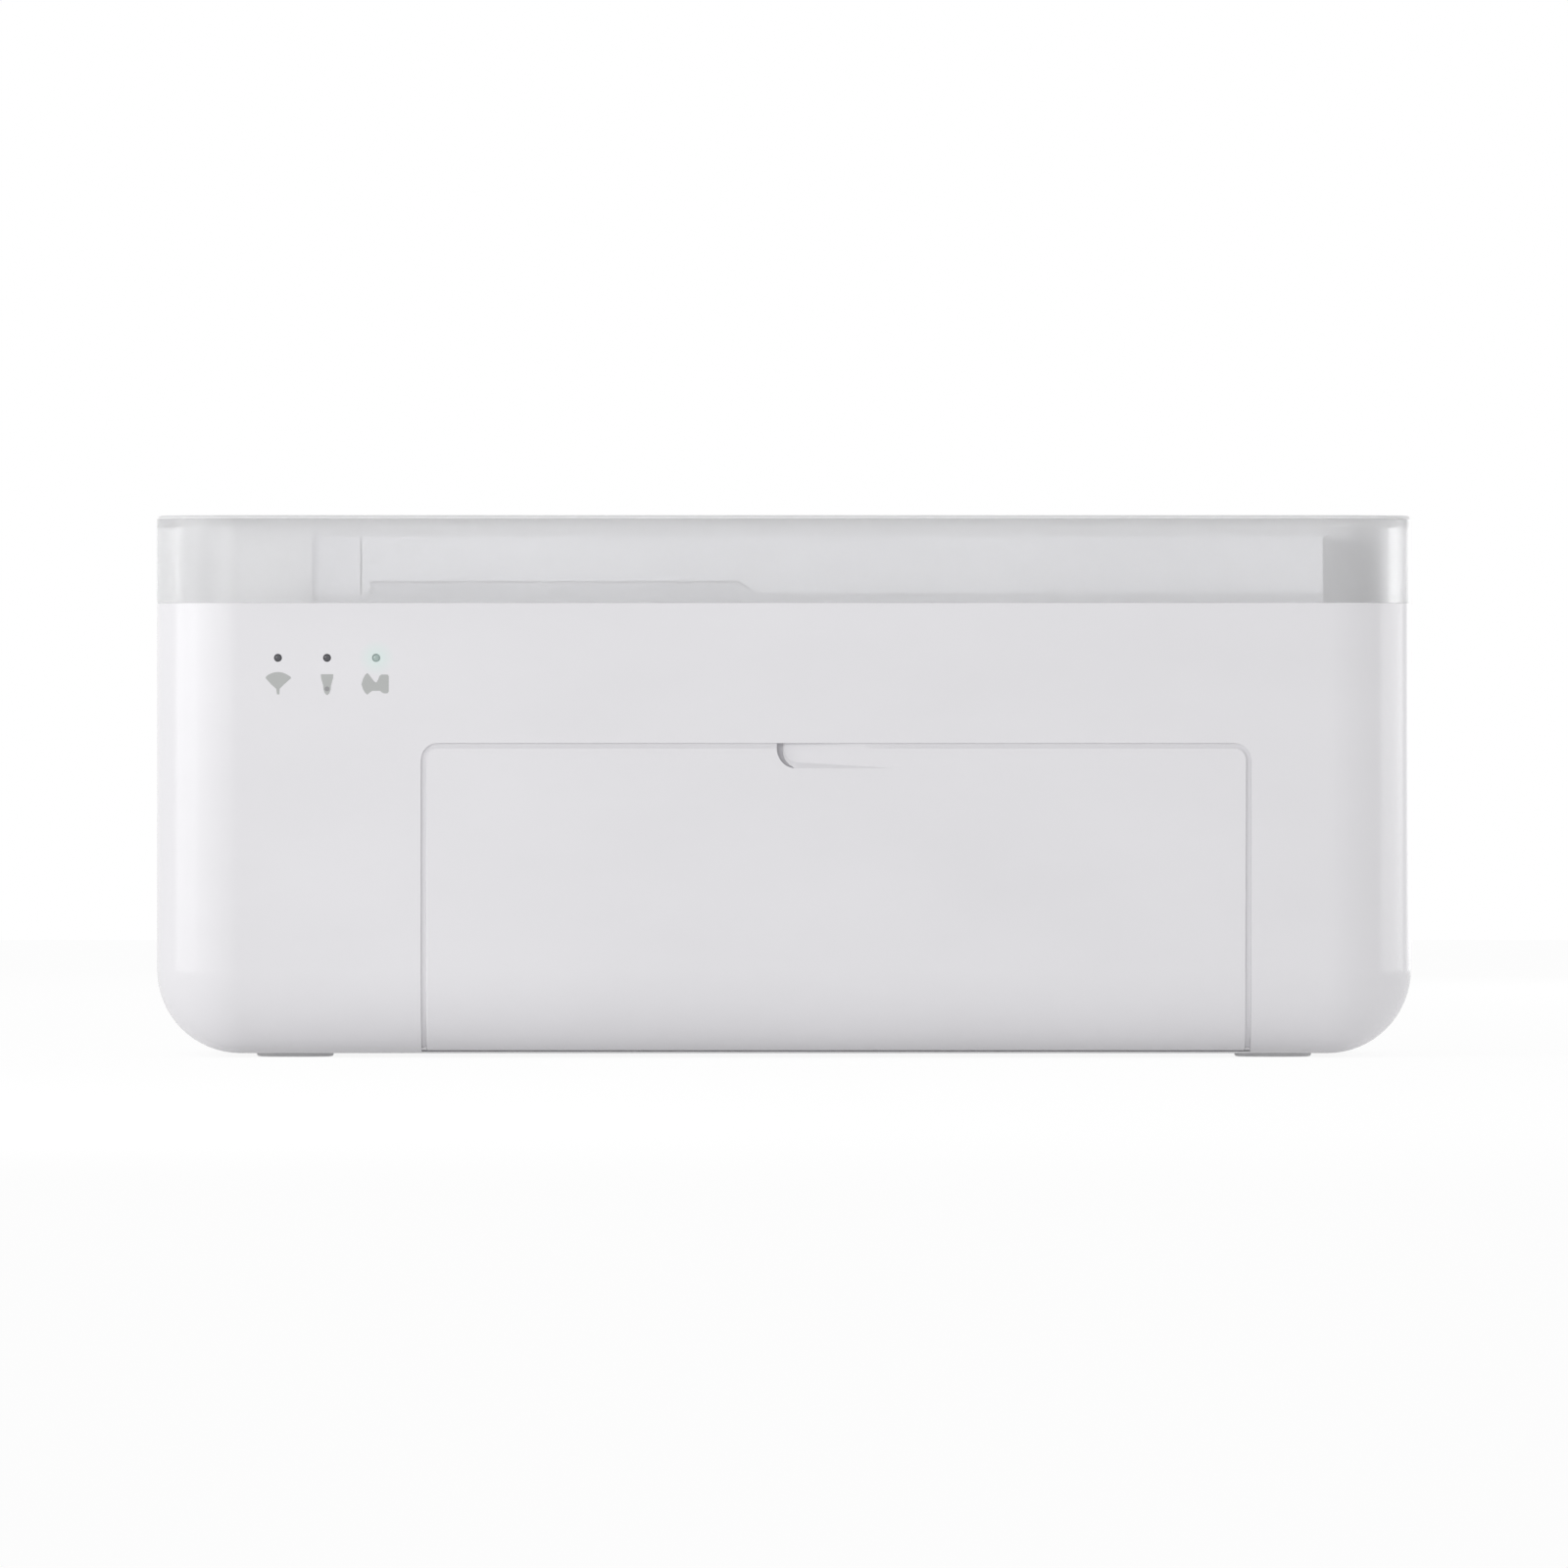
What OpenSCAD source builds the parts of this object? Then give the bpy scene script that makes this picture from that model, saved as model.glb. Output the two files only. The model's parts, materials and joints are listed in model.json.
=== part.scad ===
// Compact photo printer: tub-shaped case, see-through hinged lid over the stored
// paper cassette, drop-down front flap, side door for the ribbon cartridge, and
// the paper transport inside.
// Units are millimetres. X is to the right, Y to the back and Z up. The origin is
// on the surface that the feet stand on, under the middle of the case.

/* [Case] */
// Width of the case
body_w = 194.7; // [193:0.1:200]
// Depth of the case
body_d = 118; // [117.5:0.1:122]
// Height from the surface under the feet to the top of the lid
body_h = 84; // [83.6:0.1:88]
// Radius of the bottom edges and of the corners in plan
corner_r = 13; // [12.5:0.1:13.2]
// Wall thickness of the case
wall = 2.2; // [2:0.1:2.3]
// Height of the seam between the case and the lid
seam_z = 70.4; // [70.2:0.1:70.8]
// Width of the open seam
seam_gap = 0.4; // [0.3:0.1:0.5]
// How far the feet stand proud of the case
foot_h = 0.6; // [0.5:0.1:0.7]

/* [Lid] */
// Wall thickness of the lid
lid_wall = 3.4; // [3:0.1:3.4]
// Thickness of the lid's top plate
lid_top = 1.6; // [1.4:0.1:2.4]
// Height of the lid's hinge axis above the seam
lid_axis_up = 2.9; // [2.8:0.1:3]
// Distance of the two lid hinges from the middle
lid_hinge_x = 70; // [60:1:76]

/* [Front flap] */
// Left edge of the flap
flap_x0 = -55.4; // [-56:0.1:-55]
// Right edge of the flap
flap_x1 = 71.5; // [71:0.1:72]
// Height of the flap's top edge
flap_top = 47.9; // [47:0.1:49]
// Gap around the flap
flap_gap = 0.8; // [0.5:0.1:0.8]
// Left end of the finger scoop in the top edge
scoop_x0 = -1.1; // [-3:0.1:0]
// Width of the finger scoop
scoop_w = 18.7; // [16:0.1:22]
// Height of the finger scoop
scoop_h = 3.1; // [3:0.1:4.5]

/* [Ribbon door] */
// Front edge of the door in the right side wall
door_y0 = -34; // [-36:0.5:-30]
// Rear edge of the door
door_y1 = 44; // [40:0.5:45]
// Bottom edge of the door
door_z0 = 38; // [37:0.5:39]
// Top edge of the door
door_z1 = 66; // [64:0.5:66]

/* [Paper] */
// Width of the photo paper
paper_w = 100; // [98:0.5:100]
// Length of the photo paper
paper_l = 148; // [146:0.5:148]
// Height of the paper path
path_z = 32; // [31.8:0.1:32.2]

/* [Drive] */
// Gear module
gear_m = 1; // [1:1:1]
// Teeth on the motor pinion
pinion_teeth = 10; // [10:1:10]
// Teeth on the large wheel of the reduction gear
wheel_teeth = 32; // [32:1:32]
// Teeth on the small wheel of the reduction gear
small_teeth = 12; // [12:1:12]
// Teeth on the capstan gear
capstan_teeth = 24; // [24:1:24]
// Play between meshing flanks
backlash = 0.25; // [0.2:0.05:0.3]

/* [Hidden] */
$fn = 64;

// Play of a shaft or pin in the bore that it turns in
run_fit = 0.05;
// Pressure angle of the gears, and straight steps that make up one flank
press_a = 25;
flank_steps = 4;
// Gap between neighbours that are not fits
clear = 0.3;
// How far a cutter reaches past the face it cuts
over = 1;

half_w = body_w / 2;
half_d = body_d / 2;
case_top = seam_z - seam_gap / 2;
lid_bottom = seam_z + seam_gap / 2;
inner_x = half_w - wall;
inner_y = half_d - wall;
floor_z = foot_h + wall;

// Feet and base screws
foot_sunk = 0.8;
foot_r = 6;
foot_at = [76, 38];
screw_r = 1.4;
screw_head_r = 2.6;
screw_xs = [-66, 0, 66];
screw_y = 40;
plate_t = 1.2;
plate_z = floor_z;
plate_top = plate_z + plate_t;
plate_x = 80;
plate_y0 = -43.5;
plate_y1 = 46;

// Lid hinge: axis [y, z] along X
lid_axis = [half_d - 2.7, seam_z + lid_axis_up];
lid_relief_r = 2.6;
lid_pin_r = 1;
lid_lug_r = 2.1;
lid_lug_w = 4;
lid_boss_w = 4;
lid_play = 0.4;
rear_chamfer = 0.5;

// Flap hinge: axis [y, z] along X
flap_axis = [-half_d + 7, foot_h + 7.5];
flap_pin_r = 1.25;
flap_knuckle_r = 2.4;
flap_sweep_r = 7.9;
flap_lip_y = -half_d + 9.6;
flap_corner_r = 2;
flap_ear_w = 3;
flap_lug_w = 3;
flap_mid = (flap_x0 + flap_x1) / 2;
scoop_depth = 1.3;

// Ribbon door hinge: axis [x, z] along Y
door_gap = 0.6;
door_axis = [inner_x + 0.05, door_z0 + 2.1];
door_relief_r = 2.05;
door_pin_r = 0.9;
door_knuckle_r = 1.9;
door_knuckle_w = 4;
door_pin_reach = door_gap + door_knuckle_w;

// Power button in the left wall
button_at = [-38, 54];
button_r = 5.1;
button_hole_r = 5.3;
button_flange_r = 6.2;
button_sunk = 0.2;
button_travel = 0.8;

// Indicators: x of each dot and their height
dot_xs = [-78.3, -70.7, -63.1];
dot_z = 61.9;
dot_r = 0.62;

// Deck and its well
deck_play = 0.1;
deck_top = case_top - 0.8;
deck_bottom = 64.6;
well_floor = 66.6;

// Stored paper cassette
cass_x0 = -73.3;
cass_x1 = 83.5;
cass_end_x = -65.6;
cass_y0 = -53.5;
cass_y1 = 50.5;
cass_top = 80.8;
cass_wall = 1.6;
cass_split = 71.8;
cass_notch = [-64, -4.4];
cass_notch_h = 1.9;
cass_slant = 2.4;
cass_grip_x1 = 92.5;
lift_z = 70.2;
paper_stack = 3;
wire_r = 0.3;

// Side frames, either side of the paper's middle line
paper_x = flap_mid;
frame_half = 58;
frame_t = 1.5;
frame_l = paper_x - frame_half;
frame_r = paper_x + frame_half;
frame_y0 = -43;
frame_y1 = 55;
frame_top = 62.5;
frame_foot_y1 = 50;
frame_foot_h = 5;
roller_half = 53;
shaft_past = 1;
rail_x = 54;
rail_z = 11.8;
tab_ys = [-30, 6, 42];
tie_ats = [[-40, 59.5], [34, 12], [52, 20]];
roller_xs = [-36, 0, 36];

// Shaft places [y, z]
platen_r = 6;
platen_at = [14, path_z - platen_r];
capstan_r = 4.2;
capstan_at = [27, path_z - 0.1 - capstan_r];
pinch_r = 3;
pinch_at = [27, path_z + pinch_r];
eject_r = 4;
eject_at = [-39, path_z - 0.1 - eject_r];
idler_r = 3.5;
idler_at = [-39, path_z + 0.2 + idler_r];
arm_at = [-28, 26.5];
pickup_r = 5.5;
pickup_at = [-14.3, 19.6];
shaft_r = 2;
thin_shaft_r = 1.5;
pulley_r = 5;

// Ribbon
supply_at = [38, 46.5];
supply_r = 9.5;
takeup_at = [-10, 46.5];
takeup_r = 5.5;
spool_room_r = 10.1;
spool_wall = 1;
film_t = 0.15;
journal_r = 3;
grip_x1 = 88;
film_z = path_z + 0.55;

// Print head
head_axis = [51.5, 59];
head_shaft_r = 2;
head_boss_r = 3.2;
head_y = [11, 17];
head_z0 = film_z + 0.35;
sink_y = [8, 20];
sink_z = [38, 57.2];
arm_z = [57.3, 60.3];
head_half = 50;
fin_count = 16;
fin_pitch = 6;

// Drive train, outside the left frame
mesh_small = gear_m * (small_teeth + capstan_teeth) / 2;
mesh_large = gear_m * (pinion_teeth + wheel_teeth) / 2;
stud_at = capstan_at + mesh_small * [cos(150), sin(150)];
motor_at = stud_at + mesh_large * [cos(200), sin(200)];
gear_w = 4.5;
small_x = [frame_l - frame_t - 1.5 - gear_w, frame_l - frame_t - 1.5];
large_x = [small_x[0] - gear_w, small_x[0]];
belt_x = [frame_r + frame_t + 1, frame_r + frame_t + 4];

stud_r = 2.5;
motor_r = 10.5;
motor_x = [-90, large_x[0] - 3];

// Air slots
vent_count = 7;
vent_pitch = 4;
vent_w = 1.8;

// Boards, fan and sockets
board_x = [-93, -66];
board_z = [46, 47.6];
board_step = [-88, 50];
fan_at = [-76, 24];
fan_y = [45, 54];
fan_half = 15;
fan_corner_r = 3;
fan_bore_r = 13.6;
dc_x = -82;
usb_x = -71;
socket_z = board_z[1];
dc_h = 10;
dc_collar_r = 4;
dc_bore_r = 2.75;

// ---- Shared shapes ----

// The range that reaches r to either side of c
function span(c, r) = [c - r, c + r];

// A box given by its ranges in X, Y and Z
module block(x, y, z) {
    translate([x[0], y[0], z[0]]) cube([x[1] - x[0], y[1] - y[0], z[1] - z[0]]);
}

// A rod along X, its centre given as [y, z]
module rod_x(at, r, x0, x1) {
    translate([x0, at[0], at[1]]) rotate([0, 90, 0]) cylinder(r = r, h = x1 - x0);
}

// A rod along Y
module rod_y(x, z, r, y0, y1) {
    translate([x, y0, z]) rotate([-90, 0, 0]) cylinder(r = r, h = y1 - y0);
}

// A rod along Z
module rod_z(x, y, r, z0, z1) {
    translate([x, y, z0]) cylinder(r = r, h = z1 - z0);
}

// A flat profile drawn in [y, z], pulled along X
module along_x(x0, x1) {
    translate([x0, 0, 0]) rotate([90, 0, 90]) linear_extrude(x1 - x0) children();
}

// A plate with round corners, made of pieces that meet on flat faces
module round_plate(w, d, h, r) {
    translate([r - w / 2, -d / 2, 0]) cube([w - 2 * r, d, h]);
    for (side = [0, 1]) mirror([side, 0, 0]) {
        translate([w / 2 - r, r - d / 2, 0]) cube([r, d - 2 * r, h]);
        for (end = [0, 1]) mirror([0, end, 0])
            translate([w / 2 - r, d / 2 - r, 0]) rotate_extrude(angle = 90) square([r, h]);
    }
}

// A round-cornered plate standing in XZ, from y0 forwards to y0 - t
module upright_plate(x0, x1, z0, z1, y0, t, r) {
    translate([(x0 + x1) / 2, y0, (z0 + z1) / 2]) rotate([90, 0, 0])
        round_plate(x1 - x0, z1 - z0, t, r);
}

// Section of the tub wall: floor, quarter round and straight wall
module tub_section(r, t, h) {
    difference() {
        union() {
            intersection() {
                translate([0, r]) circle(r);
                square(r);
            }
            translate([0, r]) square([r, h - r]);
        }
        intersection() {
            translate([0, r]) circle(r - t);
            square(r);
        }
        translate([0, r]) square([r - t, h - r + over]);
    }
}

// Rear wall of the tub between x0 and x1, with its round and a strip of floor
module tub_wall(x0, x1, d, h, r, t) {
    translate([0, d / 2 - r, 0]) along_x(x0, x1) tub_section(r, t, h);
}

// An open-topped tub, its bottom edges and its corners rounded with one radius
module tub(w, d, h, r, t) {
    translate([r - w / 2, r - d / 2, 0]) cube([w - 2 * r, d - 2 * r, t]);
    for (end = [0, 1]) mirror([0, end, 0]) tub_wall(r - w / 2, w / 2 - r, d, h, r, t);
    for (side = [0, 1]) mirror([side, 0, 0]) {
        rotate([0, 0, -90]) tub_wall(r - d / 2, d / 2 - r, w, h, r, t);
        for (end = [0, 1]) mirror([0, end, 0])
            translate([w / 2 - r, d / 2 - r, 0]) rotate_extrude(angle = 90) tub_section(r, t, h);
    }
}

// Polar angle of an involute flank at radius r
function flank_angle(r, base_r, half) =
    half + (tan(press_a) - tan(acos(base_r / r))) * 180 / PI - press_a + acos(base_r / r);

// Outline of a spur gear with a tooth centred on angle 0
module gear_outline(teeth) {
    pitch_r = gear_m * teeth / 2;
    base_r = pitch_r * cos(press_a);
    root_r = pitch_r - 1.2 * gear_m;
    tip_r = pitch_r + 0.9 * gear_m;
    half = (PI * gear_m - backlash) / (4 * pitch_r) * 180 / PI;
    start_r = max(base_r, root_r) + 0.001;
    radii = [for (i = [0:flank_steps]) start_r + (tip_r - start_r) * i / flank_steps];
    angles = [for (r = radii) flank_angle(r, base_r, half)];
    polygon([for (k = [0:teeth - 1]) let (turn = k * 360 / teeth) each concat(
        [root_r * [cos(turn - angles[0]), sin(turn - angles[0])]],
        [for (i = [0:flank_steps]) radii[i] * [cos(turn - angles[i]), sin(turn - angles[i])]],
        [for (i = [flank_steps:-1:0]) radii[i] * [cos(turn + angles[i]), sin(turn + angles[i])]],
        [root_r * [cos(turn + angles[0]), sin(turn + angles[0])]]
    )]);
}

// A spur gear on an X axis at [y, z], turned by an angle
module gear_x(at, teeth, turn, x) {
    along_x(x[0], x[1]) translate(at) rotate(turn) gear_outline(teeth);
}

// A round-wire coil spring standing on Z
module coil(r, wire_r, pitch, turns) {
    sides = 6;
    steps = 14 * turns;
    function ring(i) = let (a = 360 * i / 14) [for (s = [0:sides - 1]) let (b = 360 * s / sides)
        [(r + wire_r * cos(b)) * cos(a), (r + wire_r * cos(b)) * sin(a),
         pitch * i / 14 + wire_r * sin(b)]];
    points = [for (i = [0:steps]) each ring(i)];
    walls = [for (i = [0:steps - 1]) for (s = [0:sides - 1]) let (t = (s + 1) % sides)
        [i * sides + s, (i + 1) * sides + s, (i + 1) * sides + t, i * sides + t]];
    polyhedron(points, concat(walls, [[for (s = [0:sides - 1]) s]],
        [[for (s = [sides - 1:-1:0]) steps * sides + s]]));
}

// Where a line from p touches the circle round c; side +1 is the left hand
function touch(p, c, r, side) = let (
    v = c - p, d = norm(v),
    a = atan2(v[1], v[0]) + side * asin(r / d)
) p + sqrt(d * d - r * r) * [cos(a), sin(a)];

// ---- Case ----

// The two lugs inside the front corners that hold the flap's pins
module flap_lugs() {
    for (x = [flap_x0 - flap_gap - flap_lug_w, flap_x1 + flap_gap]) {
        y = flap_axis[0];
        z = flap_axis[1];
        rod_x(flap_axis, flap_knuckle_r, x, x + flap_lug_w);
        block([x, x + flap_lug_w], [y - 2, y + 2.2], [z - 3, z]);
        block([x, x + flap_lug_w], [y, y + 2.2], [floor_z - 0.5, z]);
    }
}

// The two lugs inside the right wall that hold the ribbon door's pins
module door_lugs() {
    for (y = [door_y0 - door_gap - door_knuckle_w, door_y1 + door_gap])
        block([door_axis[0] - 2.2, inner_x + 0.5], [y, y + door_knuckle_w],
            [door_axis[1] - 2.2, door_axis[1] + 2.2]);
}

// Everything that the front flap moves through
module flap_opening() {
    upright_plate(flap_x0 - flap_gap, flap_x1 + flap_gap, -20, flap_top + flap_gap,
        flap_axis[0], 10, flap_corner_r + flap_gap);
    rod_x(flap_axis, flap_sweep_r, flap_x0 - flap_gap, flap_x1 + flap_gap);
}

// Air slots in the rear wall behind the fan
module rear_vents() {
    for (i = [0:vent_count - 1]) let (x = fan_at[0] - 12 + i * vent_pitch)
        block([x, x + vent_w], [inner_y - over, half_d + over], [fan_at[1] - 10, fan_at[1] + 10]);
}

// Air slots in the floor
module floor_vents() {
    for (i = [0:vent_count - 1]) let (y = -16 + i * vent_pitch)
        block([-42, -18], [y, y + vent_w], [0, plate_top + over]);
}

// Rounded slot along X in the rear wall where the paper comes out and goes back
module rear_slot() {
    upright_plate(paper_x - paper_w / 2 - 3, paper_x + paper_w / 2 + 3, path_z - 2.5,
        path_z + 4, half_d + over, wall + 2 * over, 1.5);
}

module body_shell() {
    color("whitesmoke") difference() {
        union() {
            translate([0, 0, foot_h]) tub(body_w, body_d, case_top - foot_h, corner_r, wall);
            flap_lugs();
            door_lugs();
        }
        flap_opening();
        rod_x(flap_axis, flap_pin_r, flap_x0 - 8, flap_x1 + 8);
        block([inner_x - over, half_w + over], [door_y0 - door_gap, door_y1 + door_gap],
            [door_z0 - door_gap, door_z1 + door_gap]);
        rod_y(door_axis[0], door_axis[1], door_pin_r, door_y0 - door_pin_reach - clear,
            door_y1 + door_pin_reach + clear);
        rod_x(button_at, button_hole_r, -half_w - over, -inner_x + over);
        for (x = dot_xs) rod_y(x, dot_z, dot_r, -half_d - over, -inner_y + over);
        rear_slot();
        rear_vents();
        rod_y(dc_x, socket_z + dc_h / 2, dc_collar_r, inner_y - over, half_d + over);
        upright_plate(usb_x - 5.2, usb_x + 5.2, socket_z - 0.5, socket_z + 3.8,
            half_d + over, wall + 2 * over, 1.8);
        floor_vents();
        for (x = screw_xs) for (side = [-1, 1]) {
            rod_z(x, side * screw_y, screw_r, -over, plate_z + over);
            rod_z(x, side * screw_y, screw_head_r, -over, foot_h + 1.2);
        }
        for (sx = [-1, 1]) for (sy = [-1, 1])
            rod_z(sx * foot_at[0], sy * foot_at[1], foot_r, -over, foot_h + foot_sunk);
        translate([0, half_d, case_top]) rotate([45, 0, 0])
            block([-half_w, half_w], [-rear_chamfer, rear_chamfer], [-rear_chamfer, rear_chamfer]);
    }
}

module base_plate() {
    color("silver") difference() {
        block([-plate_x, plate_x], [plate_y0, plate_y1], [plate_z, plate_top]);
        floor_vents();
        for (x = screw_xs) for (side = [-1, 1])
            rod_z(x, side * screw_y, screw_r, plate_z - over, plate_top + over);
    }
}

module rubber_feet() {
    color("gainsboro") for (sx = [-1, 1]) for (sy = [-1, 1])
        rod_z(sx * foot_at[0], sy * foot_at[1], foot_r, 0, foot_h + foot_sunk);
}

module base_screws() {
    color("gray") for (x = screw_xs) for (side = [-1, 1]) {
        rod_z(x, side * screw_y, screw_head_r, foot_h + 0.1, foot_h + 1.2);
        rod_z(x, side * screw_y, screw_r, foot_h + 1.2, plate_top);
    }
}

module top_deck() {
    y = lid_axis[0];
    z = lid_axis[1];
    color("lightgray") difference() {
        union() {
            translate([0, 0, deck_bottom])
                round_plate(body_w - 2 * (wall + deck_play), body_d - 2 * (wall + deck_play),
                    deck_top - deck_bottom, corner_r - wall - deck_play);
            for (x = [-lid_hinge_x, lid_hinge_x]) {
                rod_x(lid_axis, lid_lug_r, x - lid_lug_w / 2, x + lid_lug_w / 2);
                block([x - lid_lug_w / 2, x + lid_lug_w / 2], [y - 2, y + 0.3], [deck_top - 1, z]);
            }
        }
        block([cass_x0 - 1, cass_grip_x1 + 0.7], [cass_y0 - 1, cass_y1 + 1],
            [well_floor, deck_top + over]);
        rod_x(lid_axis, lid_pin_r, -lid_hinge_x - 3, lid_hinge_x + 3);
    }
}

module lid_hinge_pins() {
    reach = lid_lug_w / 2 + lid_play + lid_boss_w;
    color("silver") for (x = [-lid_hinge_x, lid_hinge_x])
        rod_x(lid_axis, lid_pin_r, x - reach, x + reach);
}

module top_lid() {
    y = lid_axis[0];
    z = lid_axis[1];
    notch = lid_lug_w / 2 + lid_play;
    color([0.87, 0.88, 0.89, 0.5]) difference() {
        union() {
            difference() {
                translate([0, 0, lid_bottom])
                    round_plate(body_w, body_d, body_h - lid_bottom, corner_r);
                translate([0, 0, lid_bottom - over])
                    round_plate(body_w - 2 * lid_wall, body_d - 2 * lid_wall,
                        body_h - lid_top - lid_bottom + over, corner_r - lid_wall);
            }
            for (x = [-lid_hinge_x, lid_hinge_x])
                block([x - notch - lid_boss_w, x + notch + lid_boss_w], [y - 2.6, y + 1],
                    [lid_bottom, z + 2.7]);
        }
        difference() {
            block([-half_w - over, half_w + over], [y, half_d + over], [lid_bottom - over, z]);
            rod_x(lid_axis, lid_relief_r, -half_w - 2 * over, half_w + 2 * over);
        }
        for (x = [-lid_hinge_x, lid_hinge_x]) {
            rod_x(lid_axis, lid_pin_r + run_fit, x - 9, x + 9);
            block([x - notch, x + notch], [y - 3.5, half_d + over], [lid_bottom - over, z + 3.1]);
        }
    }
}

// ---- Front flap ----

module front_flap() {
    y = flap_axis[0];
    z = flap_axis[1];
    color("whitesmoke") difference() {
        union() {
            intersection() {
                translate([0, 0, foot_h]) mirror([0, 1, 0])
                    tub_wall(flap_x0 - over, flap_x1 + over, body_d, flap_top, corner_r, wall);
                upright_plate(flap_x0, flap_x1, -10, flap_top, y + 8, 20, flap_corner_r);
            }
            for (x = [flap_x0 + clear, flap_x1 - clear - flap_ear_w]) {
                rod_x(flap_axis, flap_knuckle_r, x, x + flap_ear_w);
                block([x, x + flap_ear_w], [y - 4.4, y], [z - 1, z + 2.2]);
            }
        }
        block([flap_x0 - over, flap_x1 + over], [flap_lip_y, 0], [-over, z - 3]);
        rod_x(flap_axis, flap_pin_r + run_fit, flap_x0 - over, flap_x0 + 5);
        rod_x(flap_axis, flap_pin_r + run_fit, flap_x1 - 5, flap_x1 + over);
        translate([scoop_x0 + scoop_w, -half_d, 0]) rotate([0, 0, -asin(scoop_depth / scoop_w)])
            upright_plate(-scoop_w, over, flap_top - scoop_h, flap_top + 2 * scoop_h,
                0, 2 * over, scoop_h - 0.1);
    }
}

module flap_pivot_pins() {
    reach = flap_gap + flap_lug_w;
    color("silver") {
        rod_x(flap_axis, flap_pin_r, flap_x0 - reach, flap_x0 + clear + flap_ear_w);
        rod_x(flap_axis, flap_pin_r, flap_x1 - clear - flap_ear_w, flap_x1 + reach);
    }
}

// Two sprung hooks above the opening that hold the flap's top edge
module flap_catch() {
    root = flap_top + flap_gap + 0.5;
    color("gainsboro") for (x = [flap_x0 + 20, flap_x1 - 20]) {
        block([x - 3, x + 3], [-inner_y, -inner_y + 1.4], [root, flap_top + 7]);
        block([x - 3, x + 3], [-inner_y + clear, -inner_y + 1.4], [flap_top - 4, root + over]);
    }
}

// ---- Ribbon door ----

module ribbon_door() {
    x = door_axis[0];
    z = door_axis[1];
    color("whitesmoke") difference() {
        union() {
            block([inner_x, half_w], [door_y0, door_y1], [door_z0, door_z1]);
            for (y = [door_y0, door_y1 - door_knuckle_w]) {
                rod_y(x, z, door_knuckle_r, y, y + door_knuckle_w);
                block([x - door_knuckle_r + 0.2, x + 1], [y, y + door_knuckle_w], [z, z + 4]);
            }
        }
        difference() {
            block([x, half_w + over], [door_y0 - over, door_y1 + over], [door_z0 - over, z]);
            rod_y(x, z, door_relief_r, door_y0 - 2 * over, door_y1 + 2 * over);
        }
        rod_y(x, z, door_pin_r + run_fit, door_y0 - over, door_y0 + 5);
        rod_y(x, z, door_pin_r + run_fit, door_y1 - 5, door_y1 + over);
        rod_x([(door_y0 + door_y1) / 2, door_z1 + 7], 10, half_w - 1.2, half_w + over);
    }
}

module ribbon_door_pins() {
    x = door_axis[0];
    z = door_axis[1];
    color("silver") {
        rod_y(x, z, door_pin_r, door_y0 - door_pin_reach, door_y0 + door_knuckle_w);
        rod_y(x, z, door_pin_r, door_y1 - door_knuckle_w, door_y1 + door_pin_reach);
    }
}

// Sprung hook behind the door's front edge
module ribbon_door_catch() {
    y = door_y0 - door_gap;
    z = [door_z1 - 10, door_z1 - 4];
    color("gainsboro") {
        block([inner_x - 1.6, inner_x], [y - 4, y - 0.4], z);
        block([inner_x - 1.6, inner_x - clear], [y - 0.4, door_y0 + 4], z);
    }
}

// ---- Button and indicators ----

module power_button() {
    x = button_sunk - half_w;
    color("gainsboro") {
        rod_x(button_at, button_r, x, clear - inner_x);
        rod_x(button_at, button_flange_r, clear - inner_x, clear - inner_x + 1);
        rod_x(button_at, 1.6, clear - inner_x + 1, clear - inner_x + 3);
    }
}

module button_switch() {
    x = clear - inner_x + 3 + button_travel + clear;
    color("dimgray") {
        block([x, x + 1], [button_at[0] - 2, button_at[0] + 2], [button_at[1] - 2, button_at[1] + 2]);
        block([x + 1, x + 4], [button_at[0] - 3, button_at[0] + 3], [socket_z, button_at[1] + 3]);
    }
}

module indicator_light_pipes() {
    color("lightgray") for (x = dot_xs) {
        rod_y(x, dot_z, dot_r, -half_d + 0.1, -inner_y);
        rod_y(x, dot_z, 1.4, -inner_y, -inner_y + 5);
    }
}

module indicator_board() {
    y = -inner_y + 5;
    color("seagreen") {
        block([dot_xs[0] - 5, dot_xs[2] + 5], [y + 1, y + 2.2], [54, deck_bottom - clear]);
        for (x = dot_xs) block([x - 1.2, x + 1.2], [y + 0.2, y + 1], [dot_z - 1.2, dot_z + 1.2]);
    }
}

// ---- Paper cassette, stored in the deck's well ----

// The cassette's outline shrunk by an inset, between two heights
module cassette_block(inset, z) {
    block([cass_x0 + inset, cass_x1 - inset], [cass_y0 + inset, cass_y1 - inset], z);
}

// The tray's raised front edge, shrunk by a play, which the cover leaves a notch for
module cassette_notch(y, play) {
    x = cass_notch + [play, -play];
    top = cass_split + cass_notch_h - play;
    translate([0, y[1], 0]) rotate([90, 0, 0]) linear_extrude(y[1] - y[0])
        polygon([[x[0], cass_split - over], [x[1], cass_split - over], [x[1], cass_split],
            [x[1] - cass_slant, top], [x[0], top]]);
}

module cassette_tray() {
    color("lightgray") difference() {
        union() {
            cassette_block(0, [well_floor, cass_split]);
            block([cass_x0, cass_end_x], [cass_y0, cass_y1], [well_floor, cass_top]);
            block([cass_x1, cass_grip_x1], [-24, 24], [well_floor, cass_top]);
            cassette_notch([cass_y0, cass_y0 + cass_wall], 0.1);
        }
        cassette_block(cass_wall, [well_floor + cass_wall, cass_top - cass_wall]);
        block([cass_x1 + cass_wall, cass_grip_x1 - cass_wall], [-22, 22],
            [well_floor + cass_wall, cass_top + over]);
    }
}

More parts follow.
